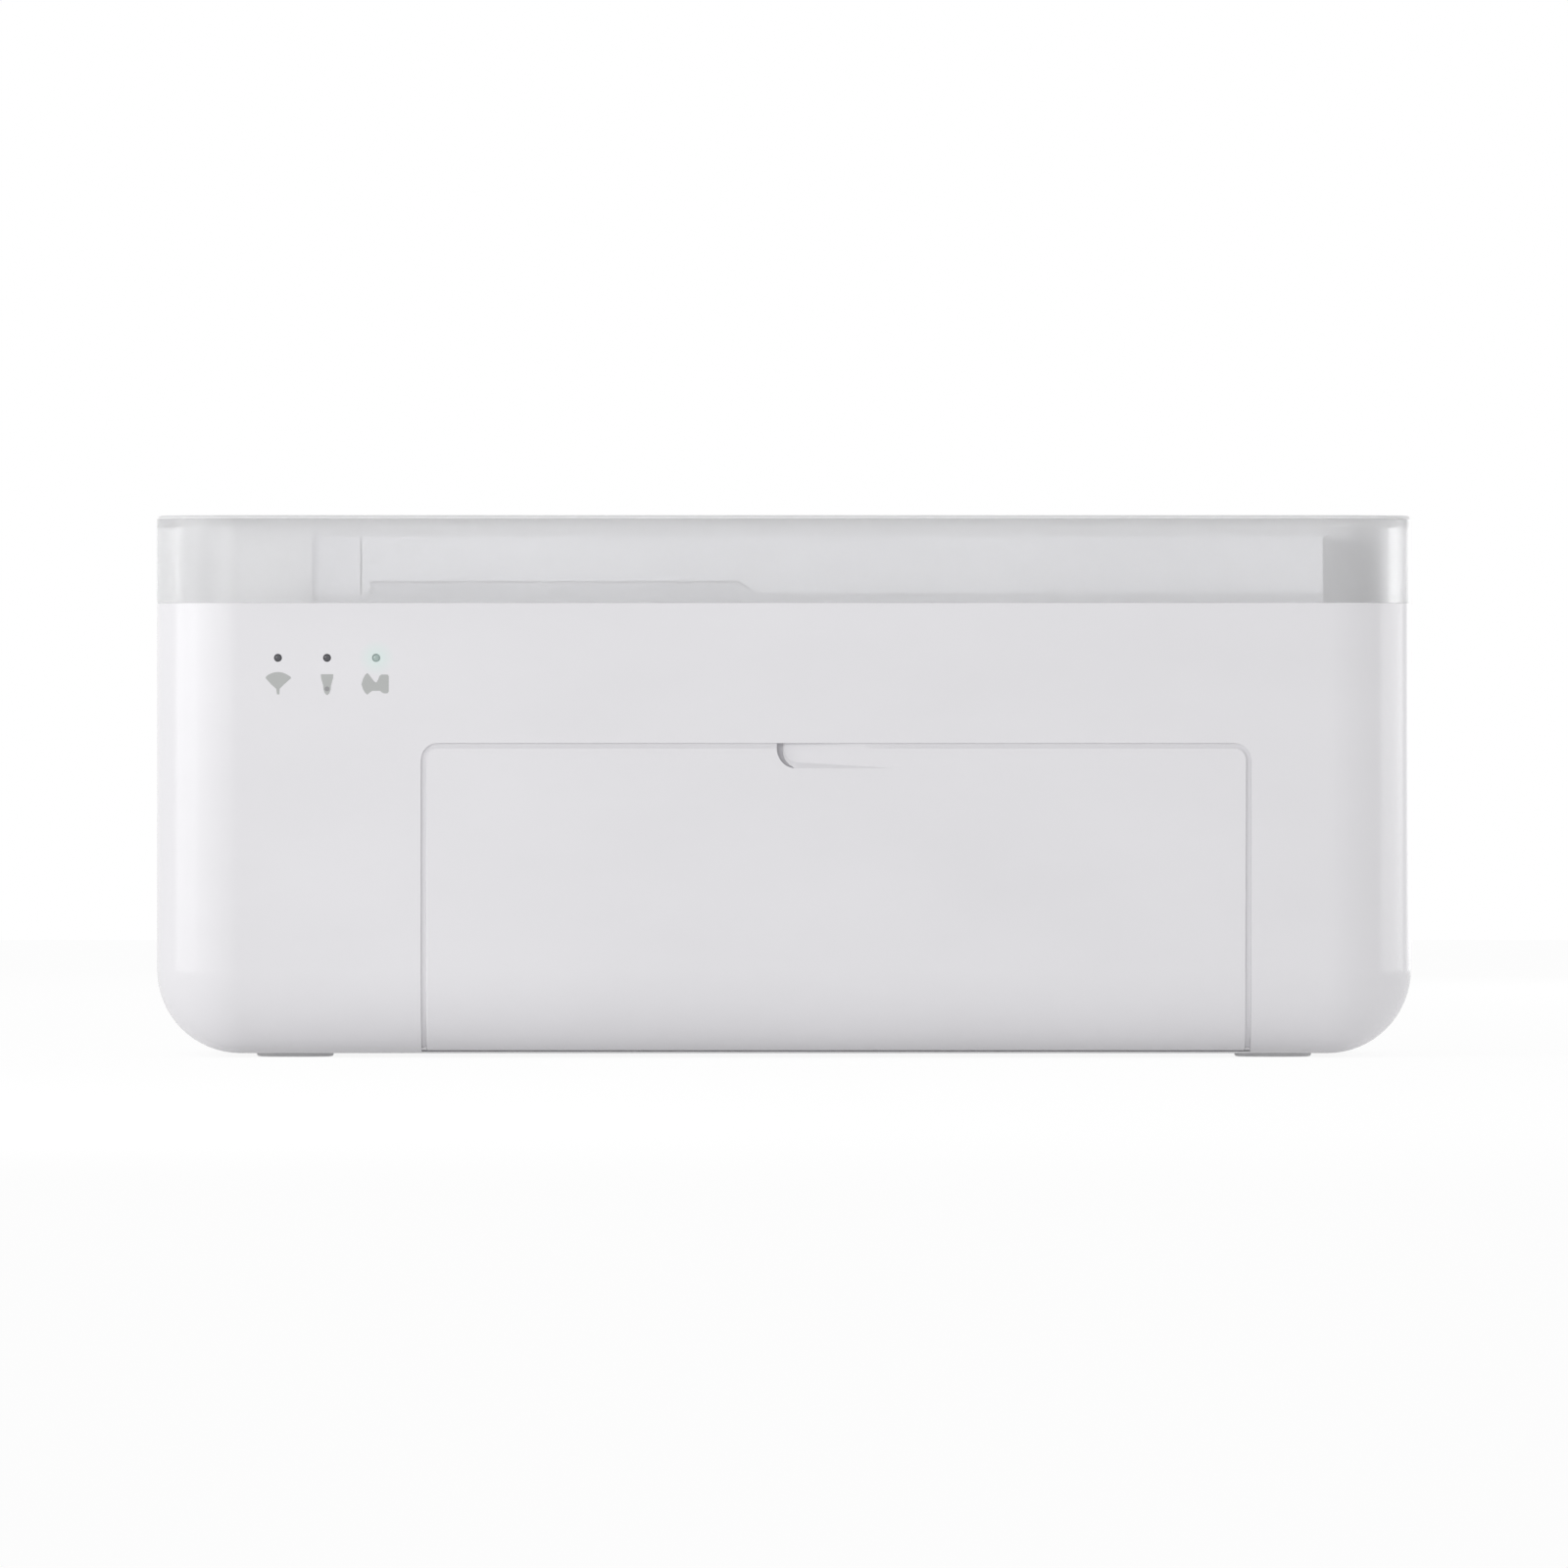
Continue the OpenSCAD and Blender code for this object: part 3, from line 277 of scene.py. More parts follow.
def flat_merged(body, angle=0.3):
    """Joins faces that lie in one plane, so that bevels run clean."""
    def merge(shape):
        bmesh.ops.remove_doubles(shape, verts=shape.verts, dist=2e-7)
        bmesh.ops.dissolve_limit(shape, angle_limit=math.radians(angle), verts=shape.verts, edges=shape.edges)
    return edited(body, merge)


def rounded_rim(body, r, chosen):
    """Rounds the sharp edges whose middle, in millimetres, passes a test."""
    def bevel(shape):
        rim = [e for e in shape.edges if len(e.link_faces) == 2 and e.calc_face_angle() > math.radians(35)
               and chosen((e.verts[0].co + e.verts[1].co) / (2 * MM))]
        bmesh.ops.bevel(shape, geom=rim, offset=r * MM, segments=4, affect="EDGES", profile=0.5,
                        clamp_overlap=False)
    return edited(body, bevel)


def softened(body, r, angle=35, segments=2):
    """Rounds the sharp edges in geometry and shades the rest smooth."""
    body.data.shade_smooth()
    bevel = body.modifiers.new("edges", "BEVEL")
    bevel.width, bevel.segments, bevel.limit_method = r * MM, segments, "ANGLE"
    bevel.angle_limit, bevel.use_clamp_overlap, bevel.miter_outer = math.radians(angle), True, "MITER_ARC"
    bevel.harden_normals = False
    weighted = body.modifiers.new("normals", "WEIGHTED_NORMAL")
    weighted.keep_sharp, weighted.weight = False, 50
    return applied(body)


def dressed(body, material, rides_on, slot, *stands_for):
    """Gives a piece its material and its place in the frame."""
    body.data.materials.clear()
    body.data.materials.append(material)
    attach(body, rides_on)
    if stands_for:
        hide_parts(*stands_for)


# ---- Materials ----

def linear(red, green, blue):
    """A colour given as it shows on a screen, 0 to 255, as Blender's linear values."""
    values = []
    for shown in (red, green, blue):
        share = shown / 255
        values.append(share / 12.92 if share <= 0.04045 else ((share + 0.055) / 1.055) ** 2.4)
    return (*values, 1.0)


class Nodes:
    """A material's node tree, its nodes wired by name."""

    def __init__(self, name):
        self.material = bpy.data.materials.new(name)
        self.material.use_nodes = True
        self.tree = self.material.node_tree
        self.tree.nodes.clear()
        self.output = self.tree.nodes.new("ShaderNodeOutputMaterial")
        self.shader = self.tree.nodes.new("ShaderNodeBsdfPrincipled")
        self.tree.links.new(self.shader.outputs[0], self.output.inputs[0])
        self.place = self.tree.nodes.new("ShaderNodeTexCoord").outputs["Object"]

    def wire(self, source, target):
        self.tree.links.new(source, target)

    def noise(self, scale, detail=2.0, stretch=None):
        """A noise of so many features a metre, stretched along each axis if asked."""
        node = self.tree.nodes.new("ShaderNodeTexNoise")
        node.inputs["Scale"].default_value = scale
        node.inputs["Detail"].default_value = detail
        source = self.place
        if stretch:
            mapping = self.tree.nodes.new("ShaderNodeMapping")
            mapping.inputs["Scale"].default_value = stretch
            self.wire(source, mapping.inputs["Vector"])
            source = mapping.outputs["Vector"]
        self.wire(source, node.inputs["Vector"])
        return node.outputs["Fac"]

    def between(self, share, low, high, spread=(0.3, 0.7)):
        """A value from low to high, as share goes from one spread value to the other."""
        node = self.tree.nodes.new("ShaderNodeMapRange")
        node.inputs["From Min"].default_value, node.inputs["From Max"].default_value = spread
        node.inputs["To Min"].default_value, node.inputs["To Max"].default_value = low, high
        self.wire(share, node.inputs["Value"])
        return node.outputs["Result"]

    def blend(self, share, first, second, spread=(0.3, 0.7)):
        """A colour from first to second, as share goes from one spread value to the other."""
        node = self.tree.nodes.new("ShaderNodeValToRGB")
        node.color_ramp.elements[0].position, node.color_ramp.elements[1].position = spread
        node.color_ramp.elements[0].color, node.color_ramp.elements[1].color = first, second
        self.wire(share, node.inputs["Fac"])
        return node.outputs["Color"]

    def vector(self, operation, first, second):
        """A vector node of one wired and one fixed vector."""
        node = self.tree.nodes.new("ShaderNodeVectorMath")
        node.operation = operation
        self.wire(first, node.inputs[0])
        node.inputs[1].default_value = second
        return node.outputs

    def surface(self, tone, rough, height, depth):
        """Wires the colour, the roughness and a bump so many metres deep into the shader."""
        bump = self.tree.nodes.new("ShaderNodeBump")
        bump.inputs["Strength"].default_value = 1.0
        bump.inputs["Distance"].default_value = depth
        self.wire(height, bump.inputs["Height"])
        self.wire(tone, self.shader.inputs["Base Color"])
        self.wire(rough, self.shader.inputs["Roughness"])
        self.wire(bump.outputs["Normal"], self.shader.inputs["Normal"])
        return self.material


def shaded(colour, share):
    """A linear colour made lighter or darker."""
    return (*(min(1.0, c * share) for c in colour[:3]), 1.0)


def plastic(name, shown, rough, grain=3200, depth=4e-6, drift=0.02, glow=None):
    """Moulded plastic: faint flow marks in the colour, a fine grain and slightly uneven gloss.

    glow tints the plastic near a point, such as painted light round an indicator: a point, a reach, a colour,
    and 1 for each axis that the reach counts on. The tint fades out over the reach.
    """
    nodes = Nodes(name)
    colour = linear(*shown)
    flow = nodes.noise(28, 3, stretch=(1, 1, 2.2))
    grains = nodes.noise(grain, 2)
    tone = nodes.blend(flow, shaded(colour, 1 - drift), shaded(colour, 1 + drift / 2))
    if glow:
        point, reach, tint, along = glow
        masked = nodes.vector("MULTIPLY", nodes.place, along)["Vector"]
        away = nodes.vector("DISTANCE", masked, Vector(point) * Vector(along) * MM)["Value"]
        mixed = nodes.tree.nodes.new("ShaderNodeMix")
        mixed.data_type = "RGBA"
        nodes.wire(nodes.between(away, 0.8, 0.0, (0, reach * MM)), mixed.inputs[0])
        nodes.wire(tone, mixed.inputs[6])
        mixed.inputs[7].default_value = linear(*tint)
        tone = mixed.outputs[2]
    return nodes.surface(tone, nodes.between(grains, rough - 0.03, rough + 0.04), grains, depth)


def metal(name, shown, rough, stretch=(40, 1, 1), tint=0.06):
    """Metal with fine drawn or rolled lines along one axis."""
    nodes = Nodes(name)
    colour = linear(*shown)
    lines = nodes.noise(90, 4, stretch=stretch)
    cloud = nodes.noise(60, 3)
    nodes.shader.inputs["Metallic"].default_value = 1.0
    return nodes.surface(nodes.blend(cloud, shaded(colour, 1 - tint), colour),
                         nodes.between(lines, rough - 0.08, rough + 0.1), lines, 3e-6)


def rubber(name, shown, rough):
    """Matt rubber with a ground, slightly dusty surface."""
    nodes = Nodes(name)
    colour = linear(*shown)
    dust = nodes.noise(400, 5)
    nodes.shader.inputs["Sheen Weight"].default_value = 0.15
    return nodes.surface(nodes.blend(dust, colour, shaded(colour, 1.5), (0.45, 0.8)),
                         nodes.between(dust, rough - 0.08, rough + 0.08), nodes.noise(2600, 3), 15e-6)


def frosted(name, shown, rough, clear):
    """See-through plastic with a fine matt texture; clear is the share of the light that goes through."""
    nodes = Nodes(name)
    colour = linear(*shown)
    cloud = nodes.noise(35, 2)
    grains = nodes.noise(2600, 2)
    nodes.wire(nodes.blend(cloud, shaded(colour, 0.985), colour), nodes.shader.inputs["Base Color"])
    nodes.wire(nodes.between(grains, rough - 0.03, rough + 0.03), nodes.shader.inputs["Roughness"])
    nodes.shader.inputs["Transmission Weight"].default_value = clear
    nodes.shader.inputs["IOR"].default_value = 1.45
    nodes.shader.inputs["Specular IOR Level"].default_value = 0.0
    # A long way through it, as along the top plate, dims the light
    depths = nodes.tree.nodes.new("ShaderNodeVolumeAbsorption")
    depths.inputs["Color"].default_value = (0.5, 0.5, 0.52, 1.0)
    depths.inputs["Density"].default_value = 3.8
    nodes.wire(depths.outputs[0], nodes.output.inputs["Volume"])
    # Lamps shine through, dimmed a little
    passing = nodes.tree.nodes.new("ShaderNodeBsdfTransparent")
    passing.inputs["Color"].default_value = (0.93, 0.93, 0.94, 1.0)
    swap = nodes.tree.nodes.new("ShaderNodeMixShader")
    nodes.wire(nodes.tree.nodes.new("ShaderNodeLightPath").outputs["Is Shadow Ray"], swap.inputs[0])
    nodes.wire(nodes.shader.outputs[0], swap.inputs[1])
    nodes.wire(passing.outputs[0], swap.inputs[2])
    nodes.wire(swap.outputs[0], nodes.output.inputs[0])
    return nodes.material


# Painted light: round the lit indicator the case is tinted pale green, as if lit by it
CASE_PLASTIC = plastic("case_plastic", (231, 230, 233), rough=0.19,
                       glow=((DOT_XS[2], -HALF_D, DOT_Z), 2.9, (216, 236, 231), (1, 1, 1)))
# Painted shade: the step round the flap is a little darker than the case, so the gap looks deeper
STEP_PLASTIC_PAINTED_SHADE = plastic("step_painted_shade", (225, 224, 227), rough=0.55)
FLAP_PLASTIC = plastic("flap_plastic", (231, 230, 233), rough=0.19)
LID_PLASTIC = frosted("lid_plastic", (249, 249, 250), 0.16, 0.66)
LID_TEXTURED = frosted("lid_textured_inside", (249, 249, 250), 0.35, 0.25)
DECK_PLASTIC = plastic("deck_plastic", (232, 232, 235), rough=0.42, grain=2200, depth=8e-6)
COVER_PLASTIC = plastic("cassette_cover_plastic", (248, 248, 250), rough=0.38)
TRAY_PLASTIC = plastic("cassette_tray_plastic", (212, 212, 215), rough=0.42, grain=2400, depth=8e-6)
# The tray's left end is paler, and grows paler still towards the cover, up to nearly white
TRAY_PALE = plastic("cassette_end_plastic", (229, 229, 232), rough=0.42, grain=2400, depth=8e-6,
                    glow=((COVER_LOW.x, 0, 0), COVER_LOW.x - TRAY_LOW.x, (252, 252, 254), (1, 0, 0)))
TRAY_RIGHT_END_GREY = plastic("cassette_right_end_grey", (168, 168, 172), rough=0.5, grain=1500, depth=20e-6)
BUTTON_PLASTIC = plastic("button_plastic", (205, 205, 208), rough=0.33)
DARK_PLASTIC = plastic("dark_plastic", (52, 53, 56), rough=0.45, grain=2000, depth=10e-6)
NYLON = plastic("white_nylon", (222, 221, 213), rough=0.48, grain=1800, depth=6e-6, drift=0.04)
STEEL = metal("bright_steel", (196, 198, 203), rough=0.24)
ZINC = metal("zinc_sheet", (186, 189, 196), rough=0.38, stretch=(1, 4, 30), tint=0.14)
ALUMINIUM = metal("extruded_aluminium", (208, 210, 214), rough=0.34, stretch=(1, 1, 30))
BRASS = metal("turned_brass", (214, 182, 112), rough=0.28)
RUBBER_DARK = rubber("roller_rubber", (44, 44, 47), rough=0.75)
FOOT_RUBBER = rubber("foot_silicone", (240, 240, 241), rough=0.6)


def board(name, shown):
    """Circuit board: solder mask over faint copper tracks."""
    nodes = Nodes(name)
    colour = linear(*shown)
    tracks = nodes.tree.nodes.new("ShaderNodeTexVoronoi")
    tracks.feature, tracks.distance = "DISTANCE_TO_EDGE", "MANHATTAN"
    tracks.inputs["Scale"].default_value = 330
    nodes.wire(nodes.place, tracks.inputs["Vector"])
    lines = nodes.between(tracks.outputs["Distance"], 0.0, 1.0, (0.02, 0.05))
    return nodes.surface(nodes.blend(lines, shaded(colour, 1.5), colour, (0.2, 0.8)),
                         nodes.between(nodes.noise(500), 0.3, 0.42), lines, 30e-6)


def paper(name, shown):
    """A stack of coated sheets: thin edge lines along Z and a soft gloss on top."""
    nodes = Nodes(name)
    colour = linear(*shown)
    sheets = nodes.noise(220, 1, stretch=(0.02, 0.02, 18))
    return nodes.surface(nodes.blend(sheets, shaded(colour, 0.86), colour, (0.4, 0.55)),
                         nodes.between(nodes.noise(900), 0.22, 0.34), sheets, 20e-6)


def film(name, shown):
    """Wound ribbon film: fine turns and a smooth, deep gloss."""
    nodes = Nodes(name)
    colour = linear(*shown)
    turns = nodes.noise(120, 2, stretch=(30, 1, 1))
    return nodes.surface(nodes.blend(turns, shaded(colour, 0.8), colour), nodes.between(turns, 0.12, 0.24),
                         turns, 8e-6)


BOARD = board("board_mask", (36, 96, 64))
CERAMIC = plastic("glazed_ceramic", (226, 221, 208), rough=0.22, grain=900)
PAPER = paper("photo_paper", (240, 240, 241))
RIBBON = film("ribbon_film", (150, 112, 50))
RIBBON_USED = film("used_ribbon", (64, 46, 58))
LENS_DARK = plastic("unlit_lens", (84, 84, 88), rough=0.12, grain=900, depth=1e-6)
# Painted light: the lit indicator's lens is a pale plastic that stands in for its glow
LENS_PAINTED_LIT = plastic("lit_lens", (168, 184, 180), rough=0.12, grain=900, depth=1e-6)
PRINT_GREY = plastic("printed_grey", (180, 182, 181), rough=0.4)
PRINT_DARK = plastic("printed_dark", (150, 150, 152), rough=0.4)


# ---- CAD nodes that keep their mesh ----

def kept(node, material, bevel=0.12, others=()):
    """Dresses a CAD node: merged flats, small rounded edges, smooth shading and its materials.

    others holds (material, test) pairs; a face whose middle, in millimetres, passes the test gets it.
    """
    piece = NODES[node]
    mesh = piece.data
    mesh.materials.clear()
    for finish in (material, *(m for m, _ in others)):
        mesh.materials.append(finish)
    for face in mesh.polygons:
        face.use_smooth = True
        face.material_index = 0
        for index, (_, test) in enumerate(others, 1):
            if test(Vector(face.center) / MM):
                face.material_index = index
    if bevel:
        merge = piece.modifiers.new("flats", "DECIMATE")
        merge.decimate_type, merge.angle_limit, merge.delimit = "DISSOLVE", math.radians(0.5), {"MATERIAL"}
        edges = piece.modifiers.new("edges", "BEVEL")
        edges.width, edges.segments, edges.limit_method = bevel * MM, 1, "ANGLE"
        edges.angle_limit, edges.use_clamp_overlap = math.radians(40), True
    normals = piece.modifiers.new("normals", "WEIGHTED_NORMAL")
    normals.keep_sharp, normals.weight = False, 50


def past_radius(at, r):
    """A test for faces further than r from an axis along X at [y, z]."""
    return lambda c: math.hypot(c.y - at[0], c.z - at[1]) > r


def axis_of(node):
    """The middle of a node's box in Y and Z, which is a roller's axis."""
    low, high = node_box(node)
    return ((low.y + high.y) / 2, (low.z + high.z) / 2)


for finish, names in (
        (STEEL, "lid_hinge_pins flap_pivot_pins ribbon_door_pins tie_bars frame_screws head_pivot_shaft"
                " drive_motor ribbon_motor gear_stud usb_port"),
        (ZINC, "base_plate left_side_frame right_side_frame paper_lift_plate head_arms motor_bracket"),
        (NYLON, "flap_catch ribbon_door_catch capstan_gear reduction_gear pickup_arm"),
        (DARK_PLASTIC, "button_switch paper_guide ribbon_cartridge fan_housing fan_rotor"),
        (DECK_PLASTIC, "cassette_rails"), (PAPER, "photo_paper_stack"), (RUBBER_DARK, "drive_belt"),
        (CERAMIC, "thermal_head"), (ALUMINIUM, "head_heatsink"), (BRASS, "motor_pinion")):
    for node in names.split():
        kept(node, finish)
kept("lift_plate_spring", STEEL, bevel=0)
# Steel shafts and nylon cores, and what is past their radius
for node, core, cover, r in (
        ("platen_roller", STEEL, RUBBER_DARK, 2.5), ("pinch_roller", STEEL, RUBBER_DARK, 1.9),
        ("pickup_roller", STEEL, RUBBER_DARK, 2.0), ("eject_roller", STEEL, RUBBER_DARK, 2.5),
        ("eject_idlers", STEEL, NYLON, 2.0), ("supply_spool", NYLON, RIBBON, 4.3),
        ("takeup_spool", NYLON, RIBBON_USED, 4.3)):
    kept(node, core, others=[(cover, past_radius(axis_of(node), r))])
# The capstan's pulley is at its right end
kept("capstan_roller", STEEL, others=[(DARK_PLASTIC, lambda c: c.x > 67.6 and
                                       past_radius(axis_of("capstan_roller"), 2.5)(c))])
kept("ribbon_film", RIBBON, bevel=0)
kept("flat_cable", NYLON, bevel=0.05)
kept("dc_inlet", DARK_PLASTIC, others=[(STEEL, lambda c: math.hypot(c.x - DC_AT[0], c.z - DC_AT[1]) < 1.2)])
# What is past these faces of the boards is a component on them, or the ends of its pins
kept("indicator_board", BOARD, others=[(CERAMIC, lambda c: c.y < -50.85)])
kept("main_board", BOARD, others=[(DARK_PLASTIC, lambda c: c.z > 47.7)])
kept("power_board", BOARD, others=[(DARK_PLASTIC, lambda c: c.z > 10.5), (STEEL, lambda c: c.z < 8.9)])


# ---- Case ----

def rounded(path, fine=1.0):
    """A path of (u, v, radius) corners as points, each corner an arc of its radius."""
    points = []
    for i, (u, v, r) in enumerate(path):
        here = Vector((u, v))
        if r == 0:
            points.append(here)
            continue
        before, after = Vector(path[i - 1][:2]), Vector(path[(i + 1) % len(path)][:2])
        a, b = (before - here).normalized(), (after - here).normalized()
        half = a.angle(b) / 2
        centre = here + (a + b).normalized() * (r / math.sin(half))
        start, end = here + a * (r / math.tan(half)) - centre, here + b * (r / math.tan(half)) - centre
        turn = start.angle_signed(end)
        steps = max(3, round((3 + r) * fine))
        for k in range(steps + 1):
            points.append(centre + Matrix.Rotation(-turn * k / steps, 2) @ start)
    apart = [points[0]]
    for point in points[1:]:
        if (point - apart[-1]).length > 1e-5:
            apart.append(point)
    return [(p.x, p.y) for p in apart]


def tub(name, profile):
    """A skin whose plan is the case's outline, led by a profile of how far in and how high it goes."""
    return loft(name, [plan_ring(HALF_W - inset, HALF_D - inset, max(CASE_R - inset, 0), z)
                       for inset, z in profile])


def upright(x0, x1, z0, z1, r, depth):
    """A round-cornered cutter that stands in XZ, between two depths in Y."""
    return prism("cut", round_outline(x0, x1, z0, z1, r), along_y, depth)


def case_lugs():
    """The lugs inside the case that hold the pins of the flap and of the side door."""
    y, z = FLAP_AXIS.y, FLAP_AXIS.z
    lugs = []
    for x in (FLAP_LOW.x - GAP - LUG_W, FLAP_HIGH.x + GAP):
        # One outline with a round head and a foot that stands on the floor
        floor = CASE_BOTTOM + CASE_WALL - 0.5
        foot = [(y - 2, z - 3), (y, z - 3), (y, floor), (y + 2.2, floor), (y + 2.2, z)]
        lugs.append(prism("lug", arc((y, z), KNUCKLE_R, 0, 180, 18) + foot, along_x, (x, x + LUG_W)))
    half = 2.2
    for y in (DOOR_LOW.y - DOOR_GAP - DOOR_KNUCKLE_W, DOOR_HIGH.y + DOOR_GAP):
        lugs.append(block("lug", (DOOR_AXIS.x - half, y, DOOR_AXIS.z - half),
                          (HALF_W - CASE_WALL + 0.5, y + DOOR_KNUCKLE_W, DOOR_AXIS.z + half)))
    return lugs


def case_shell():
    bottom, top, out, wall = CASE_BOTTOM, (LID_LOW.z + CASE_TOP) / 2 - SEAM / 2, SKIN_INSET, CASE_WALL
    shell = tub("case_shell", rounded([
        (CASE_R, bottom, 0), (out, bottom, CASE_R - out - 0.001), (out, top, 0.02), (wall, top, RIM_R),
        (wall, bottom + wall, CASE_R - wall - 0.001), (CASE_R, bottom + wall, 0)]))
    add(shell, *case_lugs())
    inner = HALF_D - wall - PAST
    back, front = (inner, HALF_D + PAST), (-HALF_D - PAST, -inner)
    side, past_top = HALF_W - wall, CASE_TOP + PAST
    flap_at, door_at = (FLAP_AXIS.y, FLAP_AXIS.z), (DOOR_AXIS.x, DOOR_AXIS.z)
    flap_x = (FLAP_LOW.x - GAP, FLAP_HIGH.x + GAP)
    # The flap's opening, and the room that the flap turns in
    cut(shell, upright(*flap_x, -20, FLAP_HIGH.z + GAP, FLAP_HOLE_CORNER_R, (-HALF_D - 3, FLAP_AXIS.y)))
    cut(shell, rod(flap_at, SWEEP_R, flap_x, along_x, 96))
    cut(shell,
        block("cut", (side - PAST, DOOR_LOW.y - DOOR_GAP, DOOR_LOW.z - DOOR_GAP),
              (HALF_W + PAST, DOOR_HIGH.y + DOOR_GAP, DOOR_HIGH.z + DOOR_GAP)),
        rod(flap_at, FLAP_PIN_R, (FLAP_LOW.x - FLAP_PIN_REACH, FLAP_LOW.x), along_x),
        rod(flap_at, FLAP_PIN_R, (FLAP_HIGH.x, FLAP_HIGH.x + FLAP_PIN_REACH), along_x),
        rod(BUTTON_AT, BUTTON_HOLE_R, (-HALF_W - PAST, PAST - side), along_x, 64),
        upright(*PAPER_SLOT, back), rod(DC_AT, DC_COLLAR_R, back, along_y, 64), upright(*USB_SLOT, back),
        *[rod((x, DOT_Z), DOT_R, front, along_y, 32) for x in DOT_XS],
        *[upright(x, x + VENT_W, 14, 34, VENT_R, back) for x in REAR_VENTS],
        *[prism("cut", round_outline(-42, -18, y, y + VENT_W, VENT_R), along_z, (0, 5)) for y in FLOOR_VENTS],
        *[rod(at, SCREW_HEAD_R, (0, bottom + SCREW_RECESS), along_z) for at in SCREW_AT],
        *[rod(at, FOOT_R, (0, bottom + FOOT_RECESS), along_z, 64) for at in FEET_AT])
    cut(shell,
        rod(door_at, DOOR_PIN_R, (DOOR_LOW.y - DOOR_PIN_REACH, DOOR_LOW.y), along_y),
        rod(door_at, DOOR_PIN_R, (DOOR_HIGH.y, DOOR_HIGH.y + DOOR_PIN_REACH), along_y),
        *[rod(at, SCREW_R, (0, 5), along_z, 32) for at in SCREW_AT],
        # The rear rim is slanted, so that the lid swings clear of it
        prism("cut", [(inner, CASE_TOP), (HALF_D - 0.7, CASE_TOP), (HALF_D, CASE_TOP - 0.7),
                      (HALF_D + PAST, CASE_TOP - 0.7), (HALF_D + PAST, past_top), (inner, past_top)],
              along_x, (-HALF_W - PAST, HALF_W + PAST)))
    softened(flat_merged(shell), 0.22)
    dressed(shell, CASE_PLASTIC, "chassis", "case_white", "body_shell")


case_shell()


# ---- Lid ----

def lid_cover():
    """The see-through lid: a round-cornered hood with its hinge bosses, and its rear edge round the axis."""
    bottom, top, out = (LID_LOW.z + CASE_TOP) / 2 + SEAM / 2, LID_HIGH.z, SKIN_INSET
    y, z = LID_AXIS.y, LID_AXIS.z
    cover = tub("lid_cover", rounded([
        (CASE_R, top - 0.01, 0), (out, top - 0.01, 0.7), (out, bottom, 0.02), (LID_WALL, bottom, 0.15),
        (LID_WALL, top - LID_TOP_T, 0.4), (CASE_R, top - LID_TOP_T, 0)], 2.0))
    notch = LID_LUG_W / 2 + LID_PLAY
    add(cover, *[block("boss", (x - notch - LID_BOSS_W, y - 2.6, bottom + 0.05),
                       (x + notch + LID_BOSS_W, y + 1, z + 2.7)) for x in LID_HINGE_XS])
    below = bottom - PAST
    under = [(y, below), *arc((y, z), LID_RELIEF_R, -90, 0, 15), (HALF_D + PAST, z), (HALF_D + PAST, below)]
    cut(cover, prism("cut", under, along_x, (-HALF_W - PAST, HALF_W + PAST)))
    cut(cover, *[block("cut", (x - notch, y - 3.5, below), (x + notch, HALF_D + PAST, z + 3.1))
                 for x in LID_HINGE_XS])
    cut(cover, *[rod((y, z), LID_BORE_R, (x - 9, x + 9), along_x) for x in LID_HINGE_XS])
    softened(flat_merged(cover), 0.2)
    dressed(cover, LID_PLASTIC, "lid", "lid_frosted", "top_lid")
    # The inside of the side walls and the rounding round the top are textured, so they are milkier
    cover.data.materials.append(LID_TEXTURED)
    for face in cover.data.polygons:
        across, x = abs(face.normal.x), abs(face.center.x) / MM
        inside = across > 0.97 and x < HALF_W - LID_WALL + 0.3
        rounding = face.center.z / MM > top - 0.9 and 0.2 < face.normal.z < 0.99
        face.material_index = int(inside or rounding)


lid_cover()


# ---- Front flap ----

def tub_profile(thick, y_end, top, under=SKIN_INSET, stop=90):
    """The front wall's section from y_end on the floor up to top, as [y, z] points.

    under is how far in it starts. With stop below 90 it ends part of the way up the rounding.
    """
    centre_y, centre_z = CASE_R - HALF_D, CASE_BOTTOM + CASE_R
    points = []
    for r, turn in ((CASE_R - under, 1), (CASE_R - thick, -1)):
        start = math.degrees(math.asin((centre_y - y_end) / r))
        rounding = arc((centre_y, centre_z), r, -90 - start, -90 - stop, 24)
        if stop == 90:
            rounding.append((centre_y - r, top))
        points += rounding[::turn]
    return points


def skin_depth(point):
    """How far a point on the front wall or its rounding lies inside the case's skin."""
    y, z = point.y - (CASE_R - HALF_D), point.z - (CASE_BOTTOM + CASE_R)
    reach = -y if z > 0 else math.hypot(y, z)
    return CASE_R - SKIN_INSET - reach


def round_corners(plate, x0, x1, top, r):
    """Rounds the two upper corners of the flap or of its step."""
    for x, way in ((x0, 1), (x1, -1)):
        turns = [math.radians(a) for a in range(0, 91, 6)]
        outline = [(x + way * r * (1 - math.sin(a)), top - r * (1 - math.cos(a))) for a in turns]
        outline += [(x - way, top - r), (x - way, top + PAST), (x + way * r, top + PAST)]
        cut(plate, prism("cut", outline, along_y, (-HALF_D - PAST, 3 - HALF_D)))


